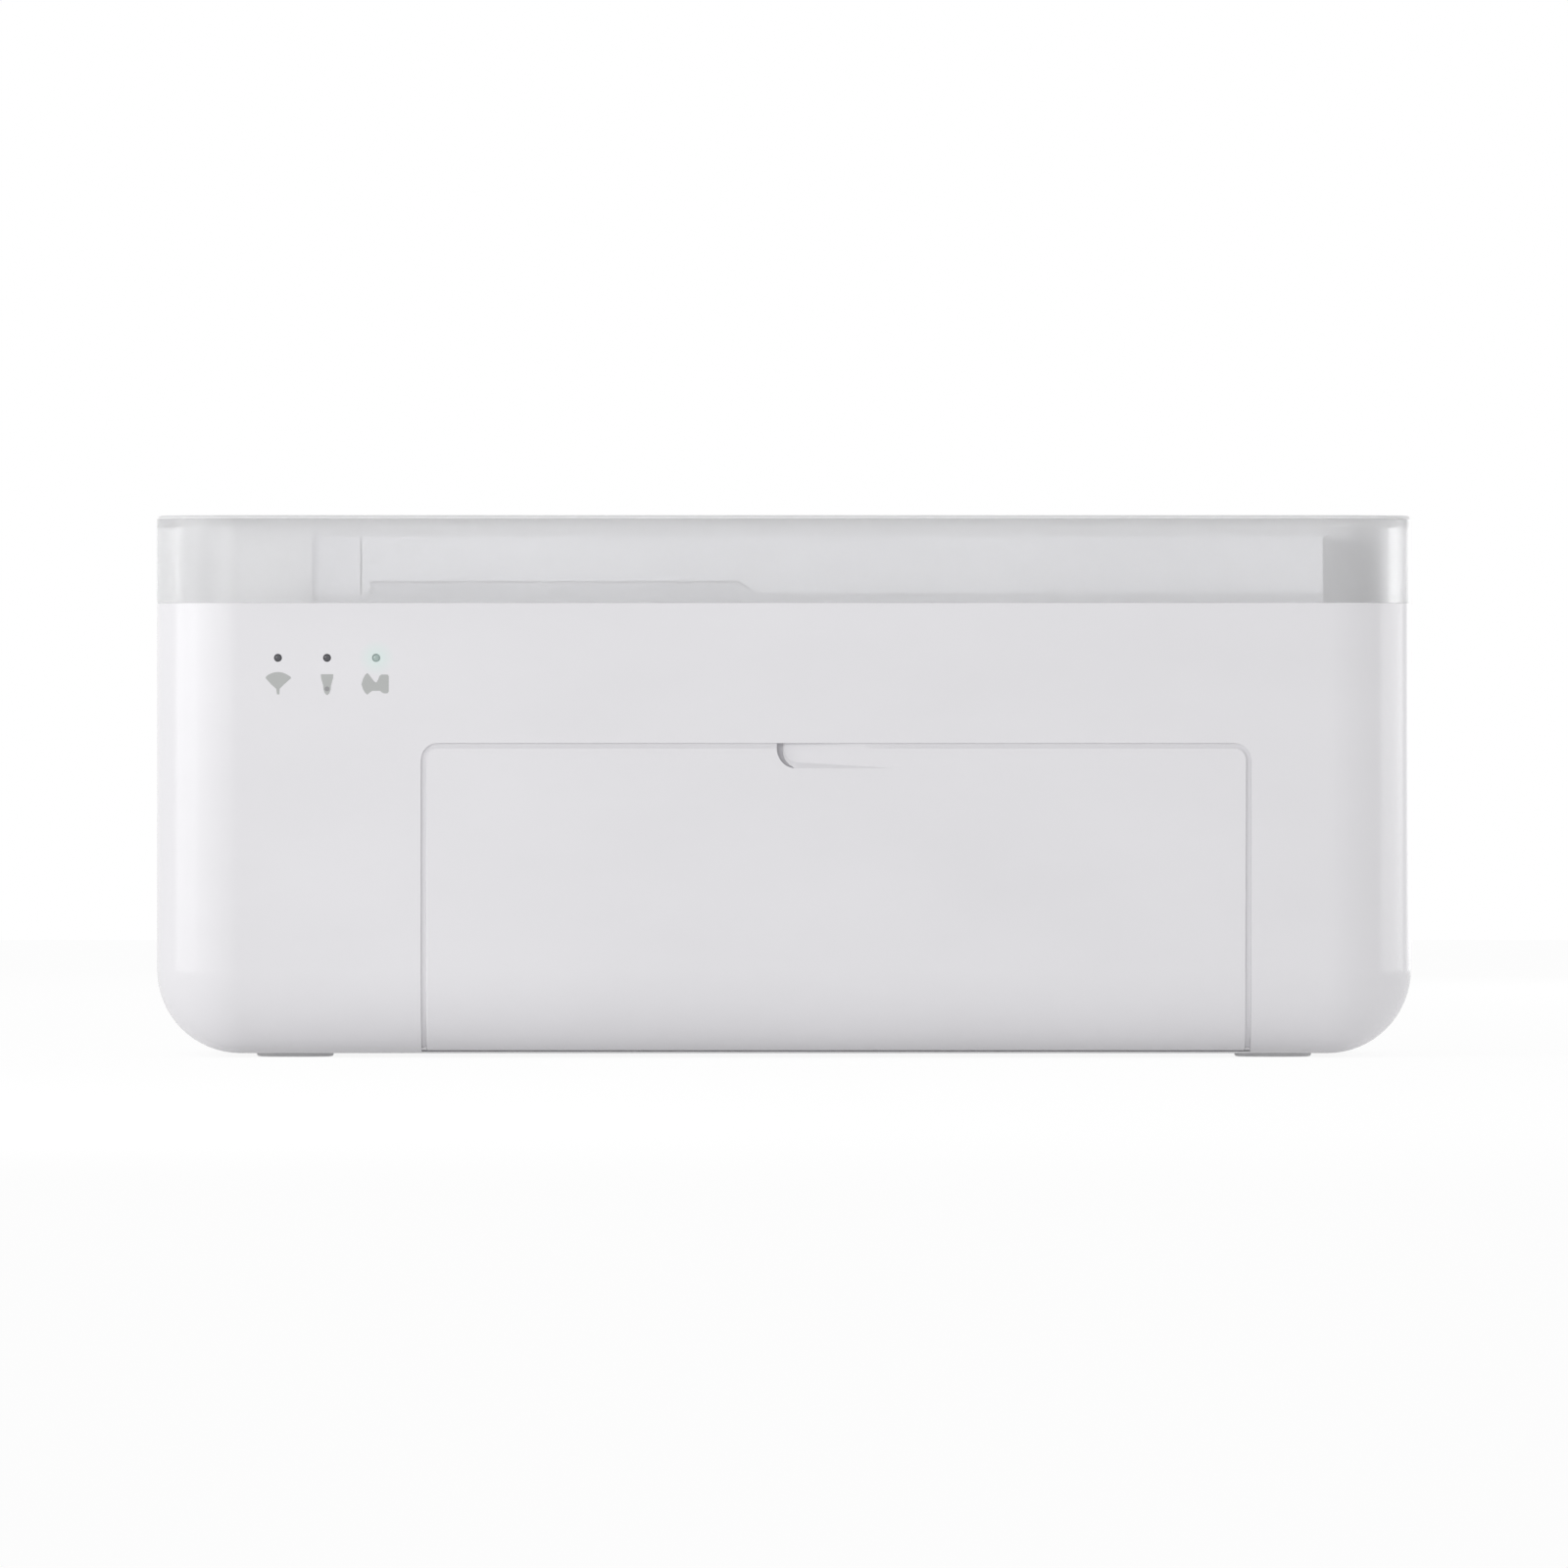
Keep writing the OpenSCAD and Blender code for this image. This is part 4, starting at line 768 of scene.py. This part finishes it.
def scoop_cutter():
    """The finger scoop: deepest at its left end, whose wall is slanted, and running out to the right."""
    face, front, past = SKIN_INSET - HALF_D, -HALF_D - PAST, SCOOP_X + SCOOP_W + 3
    r0, top = SCOOP_H - 0.1, FLAP_HIGH.z + 2
    cx, cz = SCOOP_X + r0, FLAP_HIGH.z - SCOOP_H + r0
    slant = SCOOP_WALL / SCOOP_DEPTH

    def floor_depth(x):
        return SCOOP_DEPTH * (1 - (x - SCOOP_X) / SCOOP_W)

    def ring(depth_of):
        points = []
        for k in range(17):
            a = k / 16 * math.pi / 2
            d = depth_of(cx - r0 * math.cos(a))
            r = r0 - slant * d
            points.append((cx - r * math.cos(a), face + d, cz - r * math.sin(a)))
        d = depth_of(past)
        points += [(past, face + d, cz - r0 + slant * d), (past, face + d, top)]
        d = depth_of(SCOOP_X)
        return points + [(SCOOP_X + slant * d, face + d, top)]
    return loft("cut", [ring(lambda x: front - face), ring(floor_depth)])


def scoop_pocket():
    """The deep crescent at the scoop's left end, where a fingertip catches; it runs out along the arc."""
    r, top, steps, turn = SCOOP_H - 0.1, FLAP_HIGH.z + 2, 16, 84
    cx, cz = SCOOP_X + r, FLAP_HIGH.z - SCOOP_H + r
    outline = [(SCOOP_X + POCKET_W, top), (SCOOP_X, top), *arc((cx, cz), r, 180, 180 + turn, steps)]
    for k in range(steps, -1, -1):
        a = math.radians(180 + turn * k / steps)
        inner = r - 0.06 - POCKET_W * (1 - k / steps) ** 0.7
        outline.append((cx + inner * math.cos(a), cz + inner * math.sin(a)))
    front = [(u, -HALF_D - PAST, v) for u, v in outline]
    return loft("cut", [front, [(u, POCKET_DEPTH - 0.3 * (u - SCOOP_X) - HALF_D, v) for u, v in outline]])


def flap_panel():
    y, z = FLAP_AXIS.y, FLAP_AXIS.z
    x0, x1, top = FLAP_LOW.x, FLAP_HIGH.x, FLAP_HIGH.z
    panel = prism("flap_panel", tub_profile(CASE_WALL, FLAP_LIP_Y, top), along_x, (x0, x1))
    round_corners(panel, x0, x1, top, FLAP_CORNER_R)
    # A stepped edge, which fills most of the gap just under the surface
    reach = GAP - STEP_GAP
    step_x, step_top = (x0 - reach, x1 + reach), top + reach
    flange = prism("flange", tub_profile(CASE_WALL, FLAP_LIP_Y + 0.8, step_top, STEP_DEPTH), along_x, step_x)
    round_corners(flange, *step_x, step_top, 2.5)
    add(panel, flange)
    # The groove between them closes at its lower ends
    add(panel, prism("lip", tub_profile(CASE_WALL - 0.4, FLAP_LIP_Y + 0.4, top, 0.14, 19), along_x, step_x))
    outline = arc((y, z), KNUCKLE_R, -90, 90, 18) + [(y - 4.4, z + 2.2), (y - 4.4, z - 1)]
    add(panel, *[prism("ear", outline, along_x, (x, x + EAR_W)) for x in (x0 + 0.3, x1 - 0.3 - EAR_W)])
    cut(panel, *[rod((y, z), FLAP_BORE_R, depth, along_x)
                 for depth in ((x0 - PAST, x0 + BORE_DEPTH), (x1 - BORE_DEPTH, x1 + PAST))])
    # Stiffening ribs behind the panel, four upright ones and one across them
    front, rib_w, rib_z = CASE_WALL - 0.2 - HALF_D, 0.9, 31
    for x in (x0 + 12, x0 + 44, x1 - 45, x1 - 13):
        add(panel, block("rib", (x, front, 16), (x + rib_w, CASE_WALL + 0.9 - HALF_D, top - 6)))
    add(panel, block("rib", (x0 + 12.5, front, rib_z), (x1 - 12.5, CASE_WALL + 0.8 - HALF_D, rib_z + rib_w)))

    def on_side(c):
        return min(abs(c.x - x0), abs(c.x - x1)) < 0.02 and skin_depth(c) < 0.02 and c.z < top - 2.2

    # The side edges are rounder than the rest
    rounded_rim(flat_merged(panel), 0.24, on_side)
    cut(panel, scoop_cutter())
    cut(panel, scoop_pocket())
    softened(flat_merged(panel), 0.2)
    dressed(panel, FLAP_PLASTIC, "flap", "case_white", "front_flap")
    # The step is matt, and painted a little darker than the panel as painted shade in the groove
    panel.data.materials.append(STEP_PLASTIC_PAINTED_SHADE)
    for face in panel.data.polygons:
        depth = skin_depth(face.center / MM)
        face.material_index = int(abs(depth - STEP_DEPTH + SKIN_INSET) < 0.02)


flap_panel()


# ---- Ribbon door in the right wall ----

def door_panel():
    x, z = DOOR_AXIS.x, DOOR_AXIS.z
    side, out, past = HALF_W - CASE_WALL, HALF_W - SKIN_INSET, HALF_W + PAST
    y0, y1, z0, z1 = DOOR_LOW.y, DOOR_HIGH.y, DOOR_LOW.z, DOOR_HIGH.z
    panel = block("door_panel", (side, y0, z0), (out, y1, z1))
    reach = DOOR_GAP - STEP_GAP
    add(panel, block("flange", (side, y0 - reach, z + 3), (HALF_W - STEP_DEPTH, y1 + reach, z1 + reach)))
    arm = x - DOOR_KNUCKLE_R + 0.2
    outline = arc((x, z), DOOR_KNUCKLE_R, 180, 360, 18)
    outline += [(x + 1, z), (x + 1, z + 4), (arm, z + 4), (arm, z + 0.4)]
    for y in (y0, y1 - DOOR_KNUCKLE_W):
        add(panel, prism("knuckle", outline, along_y, (y, y + DOOR_KNUCKLE_W)))
    under = [(x, z0 - PAST), *arc((x, z), DOOR_RELIEF_R, -90, 0, 15), (past, z), (past, z0 - PAST)]
    cut(panel, prism("cut", under, along_y, (y0 - PAST, y1 + PAST)))
    cut(panel, *[rod((x, z), DOOR_BORE_R, depth, along_y)
                 for depth in ((y0 - PAST, y0 + BORE_DEPTH), (y1 - BORE_DEPTH, y1 + PAST))])
    # The finger notch: the low edge of a large circle
    cut(panel, rod(((y0 + y1) / 2, z1 + 7), 10, (HALF_W - 1.2, past), along_x, 128))
    softened(flat_merged(panel), 0.2)
    dressed(panel, CASE_PLASTIC, "side_door", "case_white", "ribbon_door")


door_panel()


# ---- Deck and the paper cassette stored in it ----

def from_cad(name, node, angle=0.5):
    """A copy of a node's mesh with its flat faces merged, for pieces that add to its shape."""
    mesh = NODES[node].data.copy()
    mesh.materials.clear()
    return flat_merged(link(bpy.data.objects.new(name, mesh)), angle)


def head_springs():
    """The springs that press the print head down, copied from the node's mesh in steel and left where they
    stand.
    """
    springs = from_cad("lift_springs", "head_springs")
    springs.data.shade_smooth()
    springs.data.materials.append(STEEL)
    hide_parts("head_springs")
    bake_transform(springs)


head_springs()


def deck():
    """The deck with a low lip just inside the seam, at the front and the sides."""
    shape = from_cad("deck_plate", "top_deck")
    out, top = CASE_WALL + 0.1, CASE_TOP - 0.1
    rings = [plan_ring(HALF_W - inset, HALF_D - inset, CASE_R - inset, z)
             for inset, z in ((out, top - 1.2), (out, top), (out + 0.7, top), (out + 0.7, top - 1.2))]
    lip = loft("lip", rings, closed=True)
    cut(lip, block("cut", (-HALF_W, 52, top - 2), (HALF_W, HALF_D, top + 1)))
    add(shape, lip)
    softened(flat_merged(shape), 0.15)
    dressed(shape, DECK_PLASTIC, "chassis", "deck_grey", "top_deck")


deck()


def cassette_cover():
    """The cover, with a shallow panel and finger grooves in its top."""
    shape = from_cad("cassette_lid", "cassette_cover")
    top = COVER_HIGH.z
    cut(shape, prism("cut", round_outline(-56, 58, -42, 39, 4), along_z, (top - 0.5, top + PAST)))
    cut(shape, *[prism("cut", round_outline(x, x + 1.1, -16, 13, 0.5), along_z, (top - 0.45, top + PAST))
                 for x in range(64, 77, 3)])
    softened(flat_merged(shape), 0.3)
    dressed(shape, COVER_PLASTIC, "chassis", "cassette_white", "cassette_cover")


def cassette_tray():
    """The tray, ribbed and dark grey at its right end, and paler at its left end."""
    shape = from_cad("cassette_body", "cassette_tray")
    # Grooves across the grip, where a thumb pushes the cassette
    cut(shape, *[prism("cut", round_outline(y, y + 1.4, 70, 79, 0.6), along_x,
                       (TRAY_HIGH.x - 0.5, TRAY_HIGH.x + PAST)) for y in range(-18, 15, 4)])
    # An upright groove near the left end
    x, y = TRAY_LOW.x + 0.3, TRAY_LOW.y
    cut(shape, block("cut", (x, y - PAST, TRAY_LOW.z + 2), (x + 0.9, y + 0.5, TRAY_HIGH.z - 0.4)))

    # The front is split where its paler end begins
    def split(mesh):
        for normal in ((1, 0, 0), (0, 0, 1)):
            bmesh.ops.bisect_plane(mesh, geom=mesh.verts[:] + mesh.edges[:] + mesh.faces[:], dist=1e-6,
                                   plane_co=COVER_LOW * MM, plane_no=normal)

    softened(edited(flat_merged(shape), split), 0.25)
    dressed(shape, TRAY_PLASTIC, "chassis", "cassette_grey", "cassette_tray")
    shape.data.materials.append(TRAY_RIGHT_END_GREY)
    shape.data.materials.append(TRAY_PALE)
    for face in shape.data.polygons:
        x = face.center.x / MM
        pale = x < COVER_LOW.x and face.center.z > COVER_LOW.z * MM
        face.material_index = 1 if x > COVER_HIGH.x - 0.01 else 2 if pale else 0


cassette_cover()
cassette_tray()


# ---- Small turned and printed pieces ----

def fine_edged(piece, r=0.05):
    """Tiny rounded edges for a turned piece."""
    return softened(piece, r, angle=50, segments=1)


def power_button():
    face, back = 0.2 - HALF_W, CASE_WALL - HALF_W + 0.3
    dish = [(0.01, 0.28), (1.2, 0.26), (2.4, 0.19), (3.4, 0.1), (4.2, 0.02)]
    edge = [(4.6, 0), (4.85, 0.04), (5.02, 0.14), (BUTTON_R, 0.32)]
    front = [(r, face + depth) for r, depth in dish + edge]
    rear = [(BUTTON_R, back), (BUTTON_FLANGE_R, back), (BUTTON_FLANGE_R, back + 1), (1.6, back + 1),
            (1.6, back + 3), (0.01, back + 3)]
    cap = fine_edged(turned("button_cap", front + rear, BUTTON_AT, along_x, 96))
    dressed(cap, BUTTON_PLASTIC, "power_key", "button_grey", "power_button")
    # The usual power sign: a ring open at the top, and a bar in the gap
    ring = arc(BUTTON_AT, 1.9, 50, -230, 28) + arc(BUTTON_AT, 1.5, -230, 50, 28)
    y, z = BUTTON_AT
    bar = round_outline(y - 0.2, y + 0.2, z + 0.5, z + 2.2, 0.18)
    parts = [prism("ring", ring, along_x, (face + 0.2, face + 0.3)),
             prism("bar", bar, along_x, (face + 0.17, face + 0.3))]
    dressed(joined("power_sign", parts), PRINT_GREY, "power_key", "button_grey")


def light_pipes():
    for index, x in enumerate(DOT_XS):
        front, inner = -HALF_D + 0.08, CASE_WALL - HALF_D
        r, flange_r = DOT_R - 0.02, 1.4
        profile = [(0.01, front), (r * 0.6, front + 0.03), (r * 0.9, front + 0.09), (r, front + 0.2),
                   (r, inner), (flange_r, inner), (flange_r, inner + 5), (0.01, inner + 5)]
        pipe = fine_edged(turned(f"light_pipe_{index + 1}", profile, (x, DOT_Z), along_y, 48), 0.03)
        # The first of the three stands for the node, and the last one is painted as lit, in a pale green
        # colour
        dressed(pipe, LENS_PAINTED_LIT if index == 2 else LENS_DARK, "chassis", "light_pipe",
                *(["indicator_light_pipes"] if index == 0 else []))


def printed(name, outline, material, thick=PRINT_T):
    """A thin print on the front wall, from a flat outline of [x, z] points."""
    face = SKIN_INSET - HALF_D
    ink = joined(name, [prism("ink", outline, along_y, (face - thick, face + 0.01))])
    dressed(ink, material, "chassis", "case_white")


def pictograms():
    """Three plain signs under the indicators: a signal fan, an alert mark and a pair of spools."""
    x = DOT_XS[0]
    fan = [(x - 1.9, 58.75), (x - 1.86, 58.95), *arc((x, 56.9), 2.8, 128, 52, 16),
           (x + 1.98, 58.95), (x + 2.02, 58.75), (x + 0.9, 57.75), (x + 0.26, 57.1), (x + 0.22, 56.25),
           (x - 0.14, 56.25), (x - 0.26, 57.1), (x - 1.0, 57.75)]
    printed("sign_signal", fan, PRINT_GREY)
    x = DOT_XS[1]
    half = [(0.96, 59.36), (0.93, 58.8), (0.76, 58.2), (0.6, 57.6), (0.56, 57.0), (0.36, 56.45), (0.1, 56.15)]
    alert = [(x + u, v) for u, v in half] + [(x - u, v) for u, v in half[::-1]]
    printed("sign_alert", alert, PRINT_GREY)
    printed("sign_alert_dot", circle((x, 57.1), 0.38, 24), PRINT_DARK, PRINT_T + 0.006)
    # A full spool, an empty one and the ribbon between them, as one outline
    x = DOT_XS[2]
    ribbon = [(-2.26, 57.8), (-2.05, 57.05), (-1.72, 56.5), (-1.38, 56.2), (-1.05, 56.48), (-0.62, 56.8),
              (0.6, 56.8), (0.95, 56.5), (1.25, 56.4), (1.75, 56.42), (1.93, 56.65), (1.95, 59.05),
              (1.78, 59.3), (0.85, 59.32), (0.5, 59.1), (0.3, 58.5), (0.0, 58.06), (-0.3, 58.25),
              (-0.75, 58.8), (-1.1, 59.3), (-1.38, 59.55), (-1.72, 59.25), (-2.05, 58.6)]
    printed("sign_ribbon", [(x + u, v) for u, v in ribbon], PRINT_GREY)


def feet():
    """Four low silicone feet with a rounded edge and a shallow ring underneath."""
    top, r = CASE_BOTTOM + FOOT_RECESS - 0.01, FOOT_R - 0.02
    profile = [(0.01, 0.22), (2.2, 0.22), (2.3, 0.12), (3.4, 0.12), (3.5, 0.03), (3.7, 0.01), (5.3, 0.01),
               (5.8, 0.1), (5.97, 0.35), (r, top), (0.01, top)]
    body = joined("feet", [turned("foot", profile, at, along_z, 72) for at in FEET_AT])
    dressed(fine_edged(body, 0.03), FOOT_RUBBER, "chassis", "rubber_pale", "rubber_feet")


def screws():
    """Countersunk base screws with a cross recess, each turned to an angle of its own."""
    low, high = node_box("base_screws")
    arm, half, floor = 1.3, 0.26, low.z + 0.8
    profile = [(0.01, low.z), (1.7, low.z + 0.02), (2.25, low.z + 0.12), (2.56, low.z + 0.32),
               (2.58, low.z + 1.08), (SCREW_R, low.z + 1.1), (SCREW_R, high.z), (0.01, high.z)]
    parts = []
    for x, y in SCREW_AT:
        screw = turned("screw", profile, (x, y), along_z, 48)
        turn = math.radians(17 * (x + y) % 90)
        for quarter in (0, math.pi / 2):
            u = Vector((math.cos(turn + quarter), math.sin(turn + quarter)))
            corners = [(x + a * u.x - b * u.y, y + a * u.y + b * u.x)
                       for a, b in ((-arm, -half), (arm, -half), (arm, half), (-arm, half))]
            cut(screw, prism("cut", corners, along_z, (-PAST, floor)))
        parts.append(screw)
    dressed(fine_edged(joined("screws", parts)), STEEL, "chassis", "steel", "base_screws")


power_button()
light_pipes()
pictograms()
feet()
screws()


# ---- Camera, light and floor ----

LENS, SENSOR, VIEW_WIDTH = 600, 36, 0.2426
LOOK_AT = Vector((0, 0, 0.04238))
scene = bpy.context.scene

camera = link(bpy.data.objects.new("camera", bpy.data.cameras.new("camera")))
camera.data.lens, camera.data.sensor_width = LENS, SENSOR
camera.location = (0, -HALF_D * MM - VIEW_WIDTH * LENS / SENSOR, LOOK_AT.z)
camera.rotation_euler = (math.radians(90), 0, 0)
scene.camera = camera
scene.view_settings.view_transform = "Standard"


def lamp(name, azimuth, height, distance, size, strength):
    """A square or oblong softbox that faces the object; azimuth 0 is the front and 90 the right."""
    light = bpy.data.lights.new(name, "AREA")
    light.shape, (light.size, light.size_y) = "RECTANGLE", size
    # A rectangle's radiance is its power over pi times its area
    light.energy = strength * math.pi * size[0] * size[1]
    box = bpy.data.objects.new(name, light)
    turn = math.radians(azimuth)
    place = Vector((math.sin(turn), -math.cos(turn), 0)) * distance + Vector((0, 0, height))
    box.location = place
    box.visible_transmission = False
    box.rotation_euler = (place - LOOK_AT).to_track_quat("Z", "Y").to_euler()
    return link(box)


# One wide source on the left whose light fades towards the front, in three upright strips
FAR, STRIP_H = 1.5, 0.4
for name, start, stop, strength in (("left_key", 61, 97, 2.38), ("left_edge", 48, 61, 1.0),
                                    ("left_fade", 36, 48, 0.4)):
    width = 2 * FAR * math.tan(math.radians(stop - start) / 2)
    lamp(name, -(start + stop) / 2, LOOK_AT.z, FAR, (width, STRIP_H), strength)
lamp("right_key", 100, LOOK_AT.z, FAR, (1.3, STRIP_H), 2.35)
lamp("front_fill", -42, 0.23, 1.0, (1.0, 0.24), 3.5)
lamp("right_rim", 152, 0.3, FAR, (0.8, 0.6), 1.5)


def maths(tree, operation, *values):
    """A maths node of numbers and of other nodes' outputs."""
    node = tree.nodes.new("ShaderNodeMath")
    node.operation = operation
    for socket, value in zip(node.inputs, values):
        if isinstance(value, float):
            socket.default_value = value
        else:
            tree.links.new(value, socket)
    return node.outputs[0]


# The world is white to the eye, in gloss and through the lid, and a little darker as a light
world = bpy.data.worlds.new("studio")
scene.world = world
world.use_nodes = True
tree = world.node_tree
tree.nodes.clear()
rays = tree.nodes.new("ShaderNodeLightPath").outputs
seen = maths(tree, "MAXIMUM", rays["Is Camera Ray"],
             maths(tree, "MAXIMUM", rays["Is Glossy Ray"], rays["Is Transmission Ray"]))
background = tree.nodes.new("ShaderNodeBackground")
background.inputs["Color"].default_value = (1, 1, 1, 1)
tree.links.new(maths(tree, "MULTIPLY_ADD", seen, 0.3, 0.7), background.inputs["Strength"])
tree.links.new(background.outputs[0], tree.nodes.new("ShaderNodeOutputWorld").inputs[0])

# The floor is matt, with a glow of its own that is led by the ray, so that its shadows stay pale
EDGE = 3000
floor = solid("floor", [(-EDGE, -EDGE, 0), (EDGE, -EDGE, 0), (EDGE, EDGE, 0), (-EDGE, EDGE, 0)],
              [(0, 1, 2, 3)])
floor_material = bpy.data.materials.new("pale_floor")
floor_material.use_nodes = True
tree = floor_material.node_tree
tree.nodes.clear()
matt = tree.nodes.new("ShaderNodeBsdfDiffuse")
matt.inputs["Color"].default_value = (0.88, 0.88, 0.88, 1)
glow = tree.nodes.new("ShaderNodeEmission")
glow.inputs["Strength"].default_value = 1.04
rays = tree.nodes.new("ShaderNodeLightPath").outputs
mix = tree.nodes.new("ShaderNodeMixShader")
for source, socket in zip((maths(tree, "MULTIPLY_ADD", rays["Is Camera Ray"], 0.7,
                                 maths(tree, "MULTIPLY_ADD", rays["Is Glossy Ray"], 0.35, 0.15)),
                           matt.outputs[0], glow.outputs[0]), mix.inputs):
    tree.links.new(source, socket)
tree.links.new(mix.outputs[0], tree.nodes.new("ShaderNodeOutputMaterial").inputs[0])
floor.data.materials.append(floor_material)
